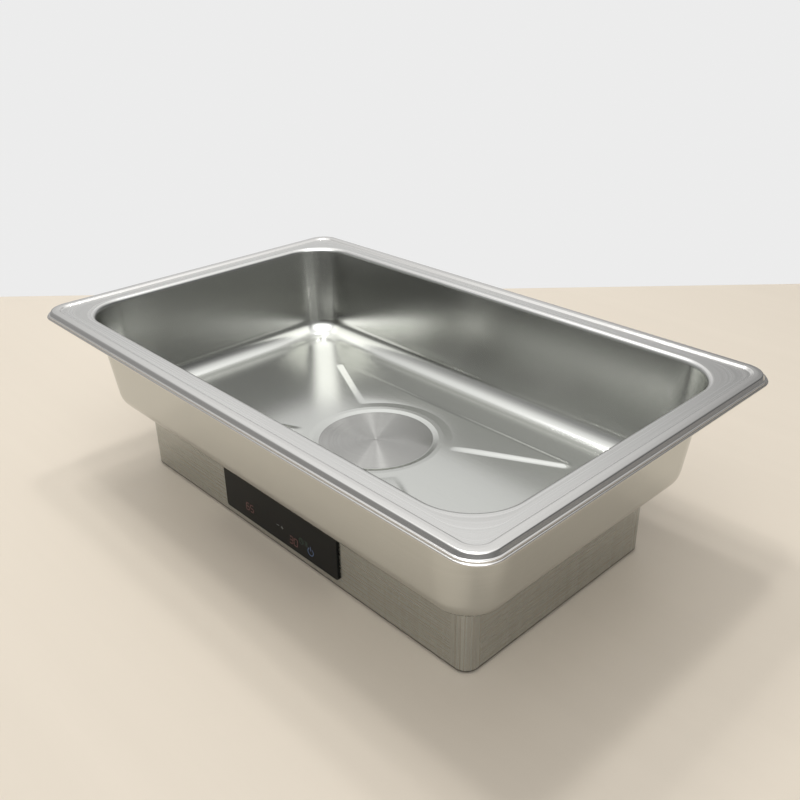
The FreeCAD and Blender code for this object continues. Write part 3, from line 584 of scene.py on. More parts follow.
def triangle_depth(x, y):
    """Distance inside a triangle with round tips: the triangle is drawn in by the tip radius, and
    the depth is the tip radius less the distance to the drawn-in one."""
    apex = triangle_apex + triangle_corner * math.hypot(1, triangle_slope)
    base = triangle_base - triangle_corner
    tip = (base - apex) / triangle_slope
    corners = np.array([(0, apex), (tip, base), (-tip, base)])
    point = stacked(x - triangle_shift, np.abs(y))
    nearest = np.full(x.shape, 1e9)
    inside = np.full(x.shape, 1e9)
    for start, end in zip(corners, np.roll(corners, -1, 0)):
        side = end - start
        length = math.hypot(*side)
        away = point - start
        share = np.clip(away @ side / length ** 2, 0, 1)
        nearest = np.minimum(nearest, np.linalg.norm(away - share[..., None] * side, axis=-1))
        inside = np.minimum(inside, (side[0] * away[..., 1] - side[1] * away[..., 0]) / length)
    return triangle_corner + np.where(inside > 0, nearest, -nearest)


def eased(share):
    """Smooth step from 0 to 1."""
    share = np.clip(share, 0, 1)
    return share * share * (3 - 2 * share)


def floor_height(x, y):
    """Height of the pressed floor over its flat: a raised triangle on each long side. Its top grows
    away from the recess, as the rise less an exponential of the distance from the centre. Its
    flanks are a smooth step of the depth inside the triangle, with their middle a little inside."""
    away = np.maximum(np.hypot(x, y) - fade_start, 0)
    top = triangle_rise * (1 - np.exp(-away / fade_run))
    return top * eased((triangle_depth(x, y) - triangle_flank) / triangle_ramp + 0.5)


def floor_edge(angle):
    """Distance from the centre to the foot of the floor fillet: the nearer of the two straight
    sides, or the corner's circle where that point lies in the corner."""
    half = np.array(opening_half) - floor_foot
    ray = np.abs(stacked(np.cos(angle), np.sin(angle)))
    straight = np.min(half / np.maximum(ray, 1e-9), -1)
    centre = half - floor_foot_corner
    along = ray @ centre
    arc = along + np.sqrt(np.maximum(along ** 2 - centre @ centre + floor_foot_corner ** 2, 0))
    reached = straight[:, None] * ray
    return np.where((reached > centre).all(-1), arc, straight)


def pan_floor():
    """Flat floor with the raised triangles. Rows go from the recess to the fillet's foot along rays
    from the centre, closest together where the flanks of the triangles run."""
    near, far = flank_angles
    quarter = np.concatenate([np.arange(0, near), np.arange(near, far, flank_step),
                              np.arange(far, 90.1)])
    turns = np.concatenate([quarter, 180 - quarter, 180 + quarter, 360 - quarter]) % 360
    angle = np.radians(np.unique(np.round(turns, 4)))
    edge = floor_edge(angle)

    def rows(share, drop):
        """Points at these shares of the way out along the rays, lowered by the drop."""
        radius = recess_seam + (edge - recess_seam) * share[:, None]
        x = radius * np.cos(angle)
        y = radius * np.sin(angle)
        return stacked(x, y, floor_level + floor_height(x, y) - drop)

    top = rows(np.linspace(0, 1, floor_rows), 0.0)
    under = rows(np.linspace(1, 0, 26), pan_sheet)
    both = np.concatenate([top, under])
    return grid(both, loop=True, run=both[..., 1])


def pan_recess():
    """Round recess with a small centre mark, pressed from one sheet: a turned section whose outer
    edge runs a little way under the floor around it."""
    upper = rounded_path([(0, -recess_depth - 0.25), (0.9, -recess_depth - 0.2),
                          (2.0, -recess_depth), (recess_floor, -recess_depth),
                          (recess_edge, -recess_shoulder), (recess_radius, 0), (recess_seam, 0),
                          (recess_seam + 1.2, -0.04)],
                         [0.5, 0.5, 1.6, 3.0, 8.0, 0], steps=6, ease=0.3)
    lower = rounded_path([(recess_seam + 1.2, 0.04), (recess_radius, 0),
                          (recess_edge, -recess_shoulder), (recess_floor, -recess_depth),
                          (0, -recess_depth)], [4.0, 3.0, 2.0], steps=6) - (0, pan_sheet)
    profile = np.vstack([upper, lower])
    outside = profile[:, 0] > recess_floor - 0.9
    profile[:, 1] += floor_level
    rows = turned_rows(profile, 180)
    return grid(rows, run=rows[..., 1], material=outside[:-1] & outside[1:])


for name, part, metals in (
        ("pan_walls_and_rim", pan_shell(), [pan_metal, border_metal, flange_metal]),
        ("pan_floor", pan_floor(), [pan_metal]),
        ("pan_floor_recess", pan_recess(), [recess_metal, pan_metal])):
    made(name, [part], metals, ["water_pan"], body="pan")


# Base box


def with_holes(outer, inner, present):
    """Closed sheet between an outer and an inner grid that go round. Cells that aren't present are
    left out on both, and each edge between a present and an absent cell gets a wall."""
    rows, columns = outer.shape[:2]
    index = np.arange(rows * columns).reshape(rows, columns)
    around = np.hstack([index, index[:, :1]])
    shift = rows * columns
    kept = cells(around)[present]
    faces = [kept, kept[:, ::-1] + shift]

    def wall(start, end, flip):
        """Faces across the sheet from the edges between start and end points."""
        sides = stacked(start, end, end + shift, start + shift)
        faces.append(sides[:, ::-1] if flip else sides)

    # upright edges, between neighbours in a row, and level ones, between rows and at the rims
    before = np.roll(present, 1, axis=1)
    for edge, flip in ((present & ~before, False), (~present & before, True)):
        wall(index[:-1][edge], index[1:][edge], flip)
    empty = np.zeros((1, columns), bool)
    padded = np.vstack([empty, present, empty])
    for edge, flip in ((padded[1:] & ~padded[:-1], True), (~padded[1:] & padded[:-1], False)):
        wall(index[edge], around[:, 1:][edge], flip)
    points = np.vstack([outer.reshape(-1, 3), inner.reshape(-1, 3)])
    faces = np.vstack(faces)
    run = np.where(points[:, 2] < deck_top - deck_bend, points[:, 2], points[:, 1])
    return {"points": points, "faces": faces, "material": np.zeros(len(faces)), "run": run}


def box_shell():
    """Folded box: four walls, a bend and the deck in to its round opening. Wall rows and columns
    run along the edges of the window, the inlet and the outlet slots, whose cells are left out.
    The columns beside an outlet slot close in towards its ends, so that the ends are round."""
    straight = base_half[0] - base_corner
    slot_half = outlet_half[0]
    slots = outlet_centre[0] + (np.arange(outlet_slots) - (outlet_slots - 1) / 2) * outlet_pitch
    rear = np.concatenate([[-200, 0, 40, 150], slots[:1] - 6, slots + outlet_pitch / 2,
                           slots - slot_half, slots + slot_half,
                           inlet_centre[0] + inlet_half[0] * np.array([-1, 1])])
    front = np.array([-140.0, -window_half[0], 0.0, window_half[0], 140.0])
    side = np.linspace(-0.8, 0.8, 5)
    shape = outline_frame(14, rear / straight, side, front / straight, side)
    slot_low = outlet_centre[1] - outlet_half[1]
    slot_high = outlet_centre[1] + outlet_half[1]
    cap_rise = slot_half * (1 - np.cos(np.radians([4, 25, 45, 67, 90])))
    walls = np.unique(np.round(np.concatenate([
        [foot_height, foot_height + 0.3, lens_level - window_half[1], lens_level + window_half[1],
         inlet_centre[1] - inlet_half[1], inlet_centre[1] + inlet_half[1],
         deck_top - deck_bend - 0.4], slot_low + cap_rise, slot_high - cap_rise]), 5))
    bend = np.radians(np.linspace(0, 90, 9))
    share = np.array([0.01, 0.3, 0.6, 0.9, 1.0])[:, None, None]

    def skin(inset, radius):
        """Walls, bend and deck of one skin, drawn in from the outside by the inset."""
        out = np.concatenate([np.zeros(len(walls)), radius * (np.cos(bend) - 1)]) - inset
        level = np.concatenate([walls, deck_top - deck_bend + radius * np.sin(bend)])
        rows = outline_rows(shape, base_half[0] + out, base_half[1] + out, base_corner + out,
                            level)
        edge = rows[-1]
        angle = np.arctan2(edge[:, 1], edge[:, 0])
        rim = deck_opening * stacked(np.cos(angle), np.sin(angle))
        flat = edge[:, :2] * (1 - share) + rim * share
        return np.concatenate([rows, stacked(flat[..., 0], flat[..., 1], edge[0, 2])])

    outer = skin(0.0, deck_bend)
    inner = skin(base_sheet, deck_bend - base_sheet)
    x, y = outer[0, :, :2].T
    on_rear = y > base_half[1] - 0.01
    on_front = y < -base_half[1] + 0.01

    # half width of the slots at each level of the walls, and the columns beside them moved to it
    level = walls[:, None]
    past_end = slot_half - np.minimum(np.abs(level - slot_low), np.abs(level - slot_high))
    narrow = np.sqrt(slot_half ** 2 - np.maximum(past_end, 0) ** 2)
    in_band = (level > slot_low - 0.01) & (level < slot_high + 0.01)
    narrow = np.where(in_band, np.maximum(narrow, 0.08), slot_half)
    nearest = slots[np.abs(x - slots[:, None]).argmin(0)]
    beside = on_rear & (np.abs(np.abs(x - nearest) - slot_half) < 0.01)
    shaped = nearest + np.sign(x - nearest) * narrow
    for rows in (outer[:len(walls)], inner[:len(walls)]):
        rows[..., 0] = np.where(beside, shaped, rows[..., 0])

    middle_x = (x + np.roll(x, -1)) / 2
    middle_z = np.concatenate([(walls[:-1] + walls[1:]) / 2, np.full(len(outer) - len(walls), 1e9)])

    def hole(on_side, places, level, half):
        """Cells of one side that lie in holes of this half size at these places."""
        within = (np.abs(middle_x - np.reshape(places, (-1, 1))) < half[0]).any(0)
        upward = np.abs(middle_z - level) < half[1]
        return on_side & np.roll(on_side, -1) & within & upward[:, None]

    return with_holes(outer, inner, ~(hole(on_rear, slots, outlet_centre[1], outlet_half)
                                      | hole(on_rear, *inlet_centre, inlet_half)
                                      | hole(on_front, 0.0, lens_level, window_half)))


made("base_box", [box_shell()], [box_metal], ["base_housing"])


# Control panel


def lens():
    """Flat plate with a rounded front edge: rows go up its side, round the edge and in to the
    middle of its face."""
    bend = np.radians([30, 60, 90])
    thickness = lens_back - lens_front
    inset = np.concatenate([[0, 0], lens_edge * (1 - np.cos(bend)), [lens_edge + 0.3]])
    level = np.concatenate([[0], thickness - lens_edge * np.array([1, *(1 - np.sin(bend)), 0])])
    rows = outline_rows(even_frame(8, 2, 2), lens_half[0] - inset, lens_half[1] - inset,
                        lens_corner - inset, level)
    return stood_up(rows, *lens_centre, lens_back)


made("panel_lens", [lens()], [black_gloss], ["control_lens"])


def stroke(x1, z1, x2, z2, width):
    """Flat bar with round ends between two places on the panel: an outline whose corner radius is
    half the width, turned along the line between them."""
    length = math.hypot(x2 - x1, z2 - z1)
    rows = outline_rows(even_frame(4, 0, 0), length / 2 + width / 2, width / 2,
                        width / 2 - 0.001, np.array([0.0, mark_height]))
    cos, sin = (x2 - x1) / length, (z2 - z1) / length
    along, across, level = np.moveaxis(rows, -1, 0)
    rows = stacked(along * cos - across * sin, along * sin + across * cos, level)
    return stood_up(rows, (x1 + x2) / 2, (z1 + z2) / 2, lens_front)


def arc_stroke(x, z, radius, width, start=0, end=360, pieces=14):
    """Part of a ring on the panel, as short strokes end to end."""
    angle = np.radians(np.linspace(start, end, pieces + 1))
    points = stacked(x + radius * np.cos(angle), z + radius * np.sin(angle))
    return [stroke(*first, *last, width) for first, last in zip(points[:-1], points[1:])]


def digit(figure, x, z):
    """Seven-bar figure that leans a little to the right."""
    bars = {"0": "abcdef", "3": "abgcd", "5": "afgcd", "6": "afgcde"}[figure]
    w, h = figure_half
    gap = figure_gap
    ends = {"a": (-w + gap, h, w - gap, h), "g": (-w + gap, 0, w - gap, 0),
            "d": (-w + gap, -h, w - gap, -h), "f": (-w, gap, -w, h - gap),
            "b": (w, gap, w, h - gap), "e": (-w, -h + gap, -w, -gap), "c": (w, -h + gap, w, -gap)}
    lean = np.array([[1, 0, 0, 0], [figure_lean, 1, 0, 0], [0, 0, 1, 0], [0, 0, figure_lean, 1]])
    return [stroke(*(ends[bar] @ lean + (x, z, x, z)), figure_bar) for bar in bars]


dim_red = lit("dim_red_figures", (0.060, 0.012, 0.009))
dim_green = lit("dim_green_marks", (0.014, 0.034, 0.018))
cool_white = lit("cool_white_mark", (0.055, 0.085, 0.15))
printed = moulding("printed_marks", (0.22, 0.22, 0.21), (0.34, 0.34, 0.33), (0.4, 0.5), bump=0.05)

figures = [bar for figure in figure_places for bar in digit(*figure)]
x, z = timer_place
timer = arc_stroke(x, z, 2.9, 0.5) + [stroke(x, z, x, z + 2, 0.5),
                                      stroke(x, z, x + 1.4, z - 0.8, 0.5)]
x, z = bars_place
level_bars = [stroke(x, z + rise, x + 3.2, z + rise, 0.55) for rise in (0.0, 1.9, 3.8)]
x, z = start_place
start_mark = arc_stroke(x, z, 3.7, 0.7, 125, 415) + [stroke(x, z + 1, x, z + 5, 0.7)]
x, z = minus_place
signs = [stroke(x - 1.6, z, x + 1.6, z, 0.5), stroke(x + 4.6, z, x + 7.8, z, 0.5),
         stroke(x + 6.2, z - 1.6, x + 6.2, z + 1.6, 0.5)]
for name, marks, colour in (
        ("panel_figures", figures, dim_red), ("panel_green_marks", timer + level_bars, dim_green),
        ("panel_start_mark", start_mark, cool_white), ("panel_plus_and_minus", signs, printed)):
    made(name, marks, [colour])


# Round pieces of the base


def quarters(places):
    """The four places at these distances from the middle."""
    return [(sx * places[0], sy * places[1]) for sx in (-1, 1) for sy in (-1, 1)]


def screw_with_cross(x, y):
    """Pan-head screw with its head down. The head's face is a flat dome, raised by a smooth step
    where two crossed bars of the driver recess are, and then the section goes on up the shank."""
    radius = np.concatenate([np.linspace(0, 2.0, 17), [2.3, 2.6, 2.78, screw_head, screw_head]])
    dome = screw_head_low + 0.5 * (radius / screw_head) ** 4
    dome[-1] = foot_height
    face = turned_rows(stacked(radius, dome), 64)
    bar = eased((0.5 - np.abs(face[..., :2]).min(-1)) / 0.18)
    face[..., 2] += 0.9 * bar * eased((1.75 - radius) / 0.3)[:, None]
    shank = turned_rows([(screw_shank, foot_height), (screw_shank, screw_end - 0.8),
                         (0.9, screw_end), (0.0, screw_end)], 64)
    return grid(np.concatenate([face, shank]) + (x, y, 0))


zinc = brushed_steel("zinc_plated_steel", (0.46, 0.47, 0.48), (0.62, 0.63, 0.63), (0.34, 0.42),
                     rows=False, along=30.0, across=900.0, bump=0.02, marks=0.1)
nickel = brushed_steel("nickel_plated_steel", (0.55, 0.54, 0.51), (0.66, 0.65, 0.62), (0.24, 0.3),
                       rows=False, along=300.0, across=900.0, bump=0.02, marks=0.08)
black_ceramic = moulding("black_ceramic_glass", (0.010, 0.010, 0.011), (0.016, 0.016, 0.017),
                         (0.07, 0.12), grain=900.0, bump=0.03, Coat_Weight=0.6, Coat_Roughness=0.04)
heating_steel = disc_steel("turned_heating_disc", (0.34, 0.335, 0.33), (0.46, 0.455, 0.445))

foot_line = [(0, 0.5), (5.4, 0.5), (6.0, 0.0), (8.3, 0.0), (8.8, 0.15), (foot_radius, 0.6),
             (foot_radius, foot_height), (0, foot_height)]
pad_line = [(0, deck_top), (pad_radius, deck_top), (pad_radius, pad_top - 0.5),
            (pad_radius - 0.5, pad_top), (7.4, pad_top), (7.0, pad_top - 0.35),
            (5.6, pad_top - 0.35), (5.2, pad_top), (0, pad_top)]
made("feet", [turned(foot_line, 48, place) for place in quarters(foot_places)],
     [black_rubber], ["rubber_feet"])
made("pads_under_pan", [turned(pad_line, 48, place) for place in quarters(pad_places)],
     [black_rubber], ["pan_pads"])
made("plate_screws", [screw_with_cross(*place) for place in quarters(screw_places)],
     [nickel], ["base_screws"])

low, high = glass_level
deck_under = deck_top - base_sheet
ring_line = rounded_path([(62.0, high), (glass_radius, high), (glass_radius, deck_under),
                          (ring_mouth, deck_under), (ring_mouth, deck_top),
                          (ring_bore + ring_lead_in, deck_top),
                          (ring_bore, deck_top - ring_lead_in), (ring_bore, high), (61.9, high)],
                         [0.5, 0.5, 0.1, 0.35, 0.5, 0.7, 0.4], steps=4, ease=0.2)
made("ring_round_disc", [turned(ring_line, 128, loop=True)], [black_rubber],
     ["locating_ring"])
edge = [(glass_radius - 0.8, 0), (glass_radius - 0.2, 0.3), (glass_radius, 0.9)]
glass_line = ([(0, low)] + [(r, low + rise) for r, rise in edge]
              + [(r, high - rise) for r, rise in edge[::-1]] + [(0, high)])
made("glass_over_coil", [turned(glass_line, 128)], [black_ceramic],
     ["glass_plate"])
low, high = disc_level
disc_line = [(0, low)] + [(r + across, low + rise) for r in np.arange(12.0, 50.0, 4.0)
                          for across, rise in ((-0.6, 0), (0.0, 0.25), (0.6, 0))]
disc_line += [(disc_radius - 0.6, low), (disc_radius, low + 0.6), (disc_radius, high), (0, high)]
made("heating_disc", [turned(disc_line, 144)], [heating_steel],
     ["induction_disc"], body="pan")


# Coil and choke


def squared(angle, power):
    """Cosine and sine of a section with square shoulders."""
    cos, sin = np.cos(angle), np.sin(angle)
    return np.sign(cos) * np.abs(cos) ** power, np.sign(sin) * np.abs(sin) ** power


def litz_coil():
    """Flat spiral of twisted wire. Each half turn is a half circle, and its centre and radius step
    so that the halves meet. The section is a square-shouldered oval whose edge swells and sinks
    once for each strand, and the strands turn round it as it goes."""
    half = np.arange(coil_half_turns)
    share = np.linspace(0, math.pi, 57)[:-1]
    angle = (half[:, None] * math.pi + share).ravel()
    angle = np.append(angle, coil_half_turns * math.pi)[:, None]
    number = np.minimum(np.floor(angle / math.pi + 1e-9), coil_half_turns - 1)
    radius = coil_start + number * coil_step
    centre = np.where(number % 2 == 1, coil_step / 2, -coil_step / 2)
    run = np.cumsum(np.gradient(angle, axis=0) * radius)[:, None]
    turn = np.arange(45) * 2 * math.pi / 45
    wide, tall = squared(turn, 0.55)
    swell = 1 - coil_swell + coil_swell * np.cos(coil_strands * turn + run * coil_twist)
    out = radius + coil_half[0] * wide * swell
    rows = stacked(centre + out * np.cos(angle), out * np.sin(angle),
                   coil_level + coil_half[1] * tall * swell)
    twist = run * 0.02 + turn * 0.006
    return grid(capped(rows), run=np.concatenate([twist[:1], twist, twist[-1:]]))


def choke_winding():
    """Round wire wound on a ring core: the path goes round a square-shouldered oval section while
    that section goes round the core, and the wire's own round section follows the path."""
    share = np.linspace(0, 1, choke_turns * 20 + 1)
    around = np.radians(choke_span[0] + choke_span[1] * share)
    wide, tall = squared(share * choke_turns * 2 * math.pi, 0.5)
    middle = sum(choke_radii) / 2
    level = sum(choke_level) / 2
    radius = middle + ((choke_radii[1] - choke_radii[0]) / 2 - choke_wire) * wide
    height = level + ((choke_level[1] - choke_level[0]) / 2 - choke_wire) * tall
    path = stacked(radius * np.cos(around), radius * np.sin(around), height)
    ahead = np.gradient(path, axis=0)
    ahead /= np.linalg.norm(ahead, axis=1, keepdims=True)
    hub = stacked(middle * np.cos(around), middle * np.sin(around), level)
    side = np.cross(ahead, path - hub)
    side /= np.linalg.norm(side, axis=1, keepdims=True)
    turn = (np.arange(8) * math.pi / 4)[:, None, None]
    rows = path + choke_wire * (np.cos(turn) * side + np.sin(turn) * np.cross(side, ahead))
    return grid(capped(np.swapaxes(rows, 0, 1)) + (*choke_place, 0), material=1)


def copper_wire():
    """Enamelled copper: strands show as lines that follow the run along the wire."""
    material, tree, shader, place = surface("enamelled_copper", Metallic=1.0, Coat_Weight=0.4,
                                            Coat_Roughness=0.12)
    lines = placed(tree, BRUSH, joined(tree, 0.0, row_run(tree)), Along=1.0, Across=60000.0)
    stains = placed(tree, MARKS, place, Scale=60.0)["Mask"]
    mixed = calc(tree, "MAXIMUM", lines["Tone"], stains)
    return finished(material, shader, blended(tree, mixed, (0.46, 0.16, 0.06), (0.72, 0.31, 0.15)),
                    ranged(tree, stains, 0.26, 0.4), lines["Height"], 0.1, 0.0002)


copper = copper_wire()
ferrite = moulding("ferrite", (0.035, 0.034, 0.036), (0.065, 0.063, 0.066), (0.5, 0.62),
                   grain=2600.0, bump=0.35)
made("coil_of_litz_wire", [litz_coil()], [copper], ["induction_coil"])
inner, outer = choke_radii[0] + 1.3, choke_radii[1] - 1.3
low, high = choke_level[0] + 1.3, choke_level[1] - 1.3
core = rounded_path([(inner + 2.7, low), (outer, low), (outer, high), (inner, high), (inner, low),
                     (inner + 2.6, low)], [1.0, 1.0, 1.0, 1.0], steps=4)
made("choke_core_and_winding", [turned(core, 64, choke_place, loop=True), choke_winding()],
     [ferrite, copper], ["choke"])


# Power inlet


def socket():
    """Moulded inlet, as outlines stacked along its depth: body, flange with an eased front edge,
    and the mouth down to its floor. Each outline differs a little from the size of its part."""
    back = wall_face - inlet_body[2]
    front = wall_face + inlet_flange[2]
    sizes = [(part[0] + more, part[1] + more, depth) for part, more, depth in (
        (inlet_body, -0.4, back), (inlet_body, 0, back + 0.6), (inlet_body, 0, wall_face),
        (inlet_flange, 0, wall_face), (inlet_flange, 0, front - 0.8),
        (inlet_flange, -0.24, front - 0.24), (inlet_flange, -0.8, front),
        (inlet_mouth, 0.7, front), (inlet_mouth, 0.1, front - 0.6), (inlet_mouth, 0, front - 1.4),
        (inlet_mouth, 0, wall_face - inlet_mouth[2]))]
    half_x, half_z, depth = np.array(sizes).T
    rows = outline_rows(even_frame(6, 1, 1), half_x, half_z, 2.4, -depth)
    return stood_up(rows, *inlet_centre)


def pin(x, z):
    """Flat pin along Y with eased edges and a tapered tip."""
    back, tip = pin_reach
    depth = np.array([back, back + 0.5, tip - 1.6, tip - 0.4, tip])
    shrink = np.array([0.3, 0.0, 0.0, 0.35, 0.7])
    rows = outline_rows(even_frame(3, 0, 0), pin_half[0] - shrink, pin_half[1] - shrink, 0.25,
                        -depth)
    return stood_up(rows, x, z)


brass = brushed_steel("nickelled_brass", (0.62, 0.55, 0.40), (0.74, 0.67, 0.52), (0.2, 0.28),
                      rows=False, along=200.0, across=900.0, bump=0.02)
black_moulding = moulding("black_moulding", (0.017, 0.017, 0.018), (0.028, 0.028, 0.03),
                          (0.4, 0.52), grain=2200.0, bump=0.3)
made("inlet", [socket()], [black_moulding], ["inlet_socket"])
x, z = inlet_centre
made("inlet_contacts", [pin(x - 7, z - 2), pin(x + 7, z - 2), pin(x, z + 2)], [brass],
     ["inlet_pins"])


# Fuse


def fuse():
    """Glass tube between two turned caps, along Y."""
    def along_y(profile, **options):
        """Turned piece laid along Y."""
        x, y, z = np.moveaxis(turned_rows(profile, 32), -1, 0)
        return grid(stacked(x, z, y) + fuse_place, **options)

    radius, start, end = cap_size
    caps = [along_y([(0, side * start), (radius, side * start), (radius, side * (end - 0.4)),
                     (radius - 0.4, side * end), (0, side * end)]) for side in (-1, 1)]
    radius, end = tube_size
    return caps + [along_y([(0, -end), (radius, -end), (radius, end), (0, end)], material=1)]


clear_glass = moulding("fuse_glass", (0.80, 0.84, 0.84), (0.90, 0.93, 0.92), (0.03, 0.06),
                       grain=300.0, bump=0.02, Transmission_Weight=0.9)
made("fuse_with_caps", fuse(), [nickel, clear_glass], ["fuse_tube"])


# Finishes of the pieces that keep their CAD shape


def circuit_board(name, mask, dark):
    """Solder mask over copper tracks: bricks of three sizes stand for the tracks, and a regular
    pattern of dots for the soldered holes."""
    material, tree, shader, place = surface(name, Coat_Weight=0.3, Coat_Roughness=0.2)
    x, y, z = add(tree, "SeparateXYZ", {0: place}).outputs
    sheet = joined(tree, x, calc(tree, "ADD", y, z))
    tracks = add(tree, "TexBrick", {"Vector": sheet, "Scale": 90.0, "Mortar Size": 0.06,
                                    "Brick Width": 0.9, "Row Height": 0.22,
                                    "Mortar Smooth": 0.2, "Bias": 0.0},
                 offset=0.37, squash=1.7, squash_frequency=3).outputs["Fac"]
    holes = add(tree, "TexVoronoi", {"Vector": sheet, "Scale": 260.0, "Randomness": 0.35})
    dots = ranged(tree, holes.outputs["Distance"], 1.0, 0.0, 0.10, 0.16)
    colour = blended(tree, dots, blended(tree, tracks, dark, mask), (0.62, 0.60, 0.55))
    feed(tree, shader, {"Metallic": dots})
    rough = ranged(tree, placed(tree, GRAIN, place)["Tone"], 0.3, 0.45)
    return finished(material, shader, colour, rough, tracks, 0.15)


def mica_flakes():
    """Pressed mica: silvery amber flakes, each with its own tone."""
    material, tree, shader, place = surface("pressed_mica", Coat_Weight=0.3)
    flakes = add(tree, "TexVoronoi", {"Vector": place, "Scale": 420.0}).outputs
    tone = add(tree, "SeparateColor", {0: flakes["Color"]}).outputs[0]
    return finished(material, shader, blended(tree, tone, (0.42, 0.33, 0.20), (0.66, 0.56, 0.40)),
                    ranged(tree, tone, 0.22, 0.5), flakes["Distance"], 0.1)


green_board = circuit_board("green_circuit_board", (0.02, 0.11, 0.05), (0.012, 0.075, 0.035))
mica = mica_flakes()
white_moulding = moulding("white_moulding", (0.62, 0.62, 0.59), (0.72, 0.72, 0.69), (0.35, 0.48))
yellow_case = moulding("yellow_capacitor_case", (0.50, 0.34, 0.05), (0.62, 0.44, 0.09), (0.35, 0.5))
blue_case = moulding("blue_capacitor_case", (0.03, 0.08, 0.24), (0.05, 0.12, 0.32), (0.3, 0.42))
black_epoxy = moulding("black_epoxy", (0.018, 0.018, 0.019), (0.032, 0.032, 0.033), (0.5, 0.65),
                       grain=3000.0)
green_terminal = moulding("green_terminal_block", (0.03, 0.20, 0.10), (0.05, 0.27, 0.14),
                          (0.35, 0.48))
black_foam = moulding("conductive_foam", (0.03, 0.03, 0.03), (0.06, 0.06, 0.06), (0.75, 0.9),
                      grain=4000.0, bump=0.6)
aluminium = brushed_steel("extruded_aluminium", (0.66, 0.665, 0.67), (0.76, 0.765, 0.77),
                          (0.3, 0.38), rows=False, along=400.0, across=400.0, bump=0.03)
# The indicator lamps are unlit, but lit() gives them a faint painted glow.
dark_lamp = lit("unlit_lamp", (0.02, 0.02, 0.02), 0.5)

for finish, names in (
        (zinc, ("base_plate", "corner_brackets", "clamp_ring")), (mica, ("mica_sheet",)),
        (white_moulding, ("coil_carrier", "coil_posts", "temperature_sensor", "board_posts")),
        (ferrite, ("ferrite_bars",)), (black_rubber, ("sensor_sleeve",)),
        (green_board, ("power_board", "control_board")), (aluminium, ("heat_sink",)),
        (black_epoxy, ("power_transistor", "bridge_rectifier", "digit_display")),
        (yellow_case, ("resonance_capacitor",)), (blue_case, ("filter_capacitor",)),
        (brass, ("fuse_clips",)), (green_terminal, ("terminal_block",)),
        (black_moulding, ("fan_frame", "fan_rotor", "control_tray")), (copper, ("fan_stator",)),
        (black_foam, ("touch_pads",)), (dark_lamp, ("indicator_lamps",))):
    for name in names:
        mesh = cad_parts[name].data
        mesh.materials.clear()
        mesh.materials.append(finish)


# Stage: camera, floor, world and lamps. Lamps are given by the way to them from the object, the
# length of their sides, their power and whether metal mirrors them. The left one casts the shadow.

camera_lens = 39.195
camera_sensor = 36.0
camera_axes = ((0.69057648, 0.72311516, -0.01444261), (-0.31684402, 0.32041671, 0.89271664),
               (0.65016459, -0.61191306, 0.45038696))
camera_place = (0.53065, -0.46765, 0.4633)
floor_away = np.array([-0.7282, 0.6854])
floor_aside = np.array([0.6854, 0.7282])
floor_corners = ((0.595, -5), (0.595, 5), (-6, 5), (-6, -5))
lamp_distance = 2.3
LAMPS = {"lamp_over_back": ((-0.152, 0.222, 0.963), 0.22, 6.0, True),
         "lamp_over_middle": ((-0.108, -0.078, 0.99), 0.22, 4.7, True),
         "lamp_over_side": ((-0.363, 0.052, 0.93), 0.12, 2.4, True),
         "lamp_over_left": ((-0.45, -0.02, 0.893), 0.5, 8.8, False)}


def staged(name, data, axes=None, place=(0, 0, 0)):
    """New object of the stage, stood along three axes at a place where these are given."""
    thing = bpy.data.objects.new(name, data)
    bpy.context.scene.collection.objects.link(thing)
    if axes is not None:
        thing.matrix_world = Matrix([(*row, at) for row, at in zip(zip(*axes), place)]
                                    + [(0, 0, 0, 1)])
    return thing


def view_and_floor():
    """Camera at the photograph's angle, and a plain pale floor that ends behind the object."""
    scene = bpy.context.scene
    scene.view_settings.view_transform = "Standard"
    camera = bpy.data.cameras.new("camera")
    camera.lens = camera_lens
    camera.sensor_width = camera_sensor
    camera.clip_start = 0.01
    scene.camera = staged("camera", camera, camera_axes, camera_place)
    mesh = bpy.data.meshes.new("floor")
    mesh.from_pydata([(*(floor_away * depth + floor_aside * width), 0.0)
                      for depth, width in floor_corners], [], [(3, 2, 1, 0)])
    material, tree, shader, place = surface("pale_table", Roughness=0.55)
    grain = placed(tree, BRUSH, place, Along=1.5, Across=40.0)["Tone"]
    colour = blended(tree, grain, (0.74, 0.66, 0.55), (0.80, 0.715, 0.60))
    feed(tree, shader, {"Base Color": colour})
    mesh.materials.append(material)
    floor = staged("floor", mesh)


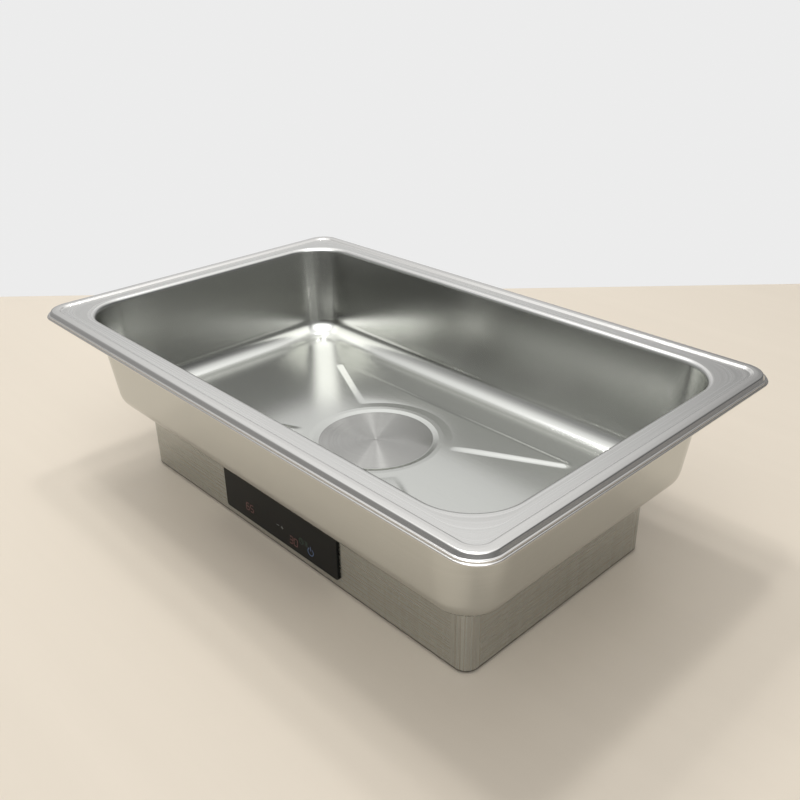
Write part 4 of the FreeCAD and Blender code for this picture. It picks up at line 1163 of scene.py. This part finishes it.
def room_light():
    """Pale world: it grows brighter with height, and some parts of it are brighter or darker."""
    world = bpy.data.worlds.new("studio")
    world.use_nodes = True
    tree = world.node_tree
    direction = add(tree, "TexCoord").outputs["Generated"]
    height = add(tree, "SeparateXYZ", {0: direction}).outputs[2]
    room = add(tree, "ValToRGB", {0: height})
    stops = ((0.0, 0.17), (0.174, 0.19), (0.423, 0.25), (0.643, 0.44), (0.766, 0.76), (0.866, 0.98),
             (1.0, 1.05))
    for position, tone in stops[1:-1]:
        room.color_ramp.elements.new(position)
    for stop, (position, tone) in zip(room.color_ramp.elements, stops):
        stop.position = position
        stop.color = (tone, tone, tone, 1)
    level = calc(tree, "MULTIPLY", room.outputs[0], 1.5)
    # brighter and darker parts of the room: where each lies, where it starts and is full as the
    # cosine from there, its change of level, and the height over which it comes in
    for toward, start, full, change, low, high in (
            ((-0.69, 0.57, 0.445), 0.88, 0.985, 0.52, -1.0, -0.9),
            ((0.50, -0.60, 0.62), 0.70, 0.93, 2.6, 0.40, 0.56),
            ((0.55, 0.75, 0.36), 0.6, 0.95, -0.22, 0.06, 0.24),
            ((-0.93, -0.2, 0.3), 0.6, 0.95, 0.12, -1.0, -0.9)):
        facing = add(tree, "VectorMath", {0: direction, 1: toward}, operation="DOT_PRODUCT")
        patch = ranged(tree, facing.outputs["Value"], 0.0, change, start, full)
        patch = calc(tree, "MULTIPLY", patch, ranged(tree, height, 0.0, 1.0, low, high))
        level = calc(tree, "ADD", level, patch)
    # metal and glass see the room at its full level, matt surfaces half of it beside the lamps,
    # and the camera a plain pale wall
    ray = add(tree, "LightPath").outputs
    seen = calc(tree, "ADD", ray["Is Glossy Ray"], ray["Is Transmission Ray"])
    level = calc(tree, "MULTIPLY", level, ranged(tree, seen, 0.50, 1.0))
    feed(tree, tree.nodes["Background"], {
        "Color": blended(tree, ray["Is Camera Ray"], level, (0.84, 0.84, 0.84))})
    bpy.context.scene.world = world


def hang_lamps():
    """Large soft lamps at one distance, each turned to the object."""
    for name, (toward, size, power, mirrored) in LAMPS.items():
        lamp = bpy.data.lights.new(name, "AREA")
        lamp.shape = "RECTANGLE"
        lamp.size = lamp.size_y = size
        lamp.energy = power
        back = np.array(toward) / np.linalg.norm(toward)
        side = np.cross((0, 0, 1), back)
        side = side / np.linalg.norm(side)
        holder = staged(name, lamp, (side, np.cross(back, side), back),
                        back * lamp_distance + (0, 0, 0.1))
        holder.visible_glossy = mirrored


view_and_floor()
room_light()
hang_lamps()
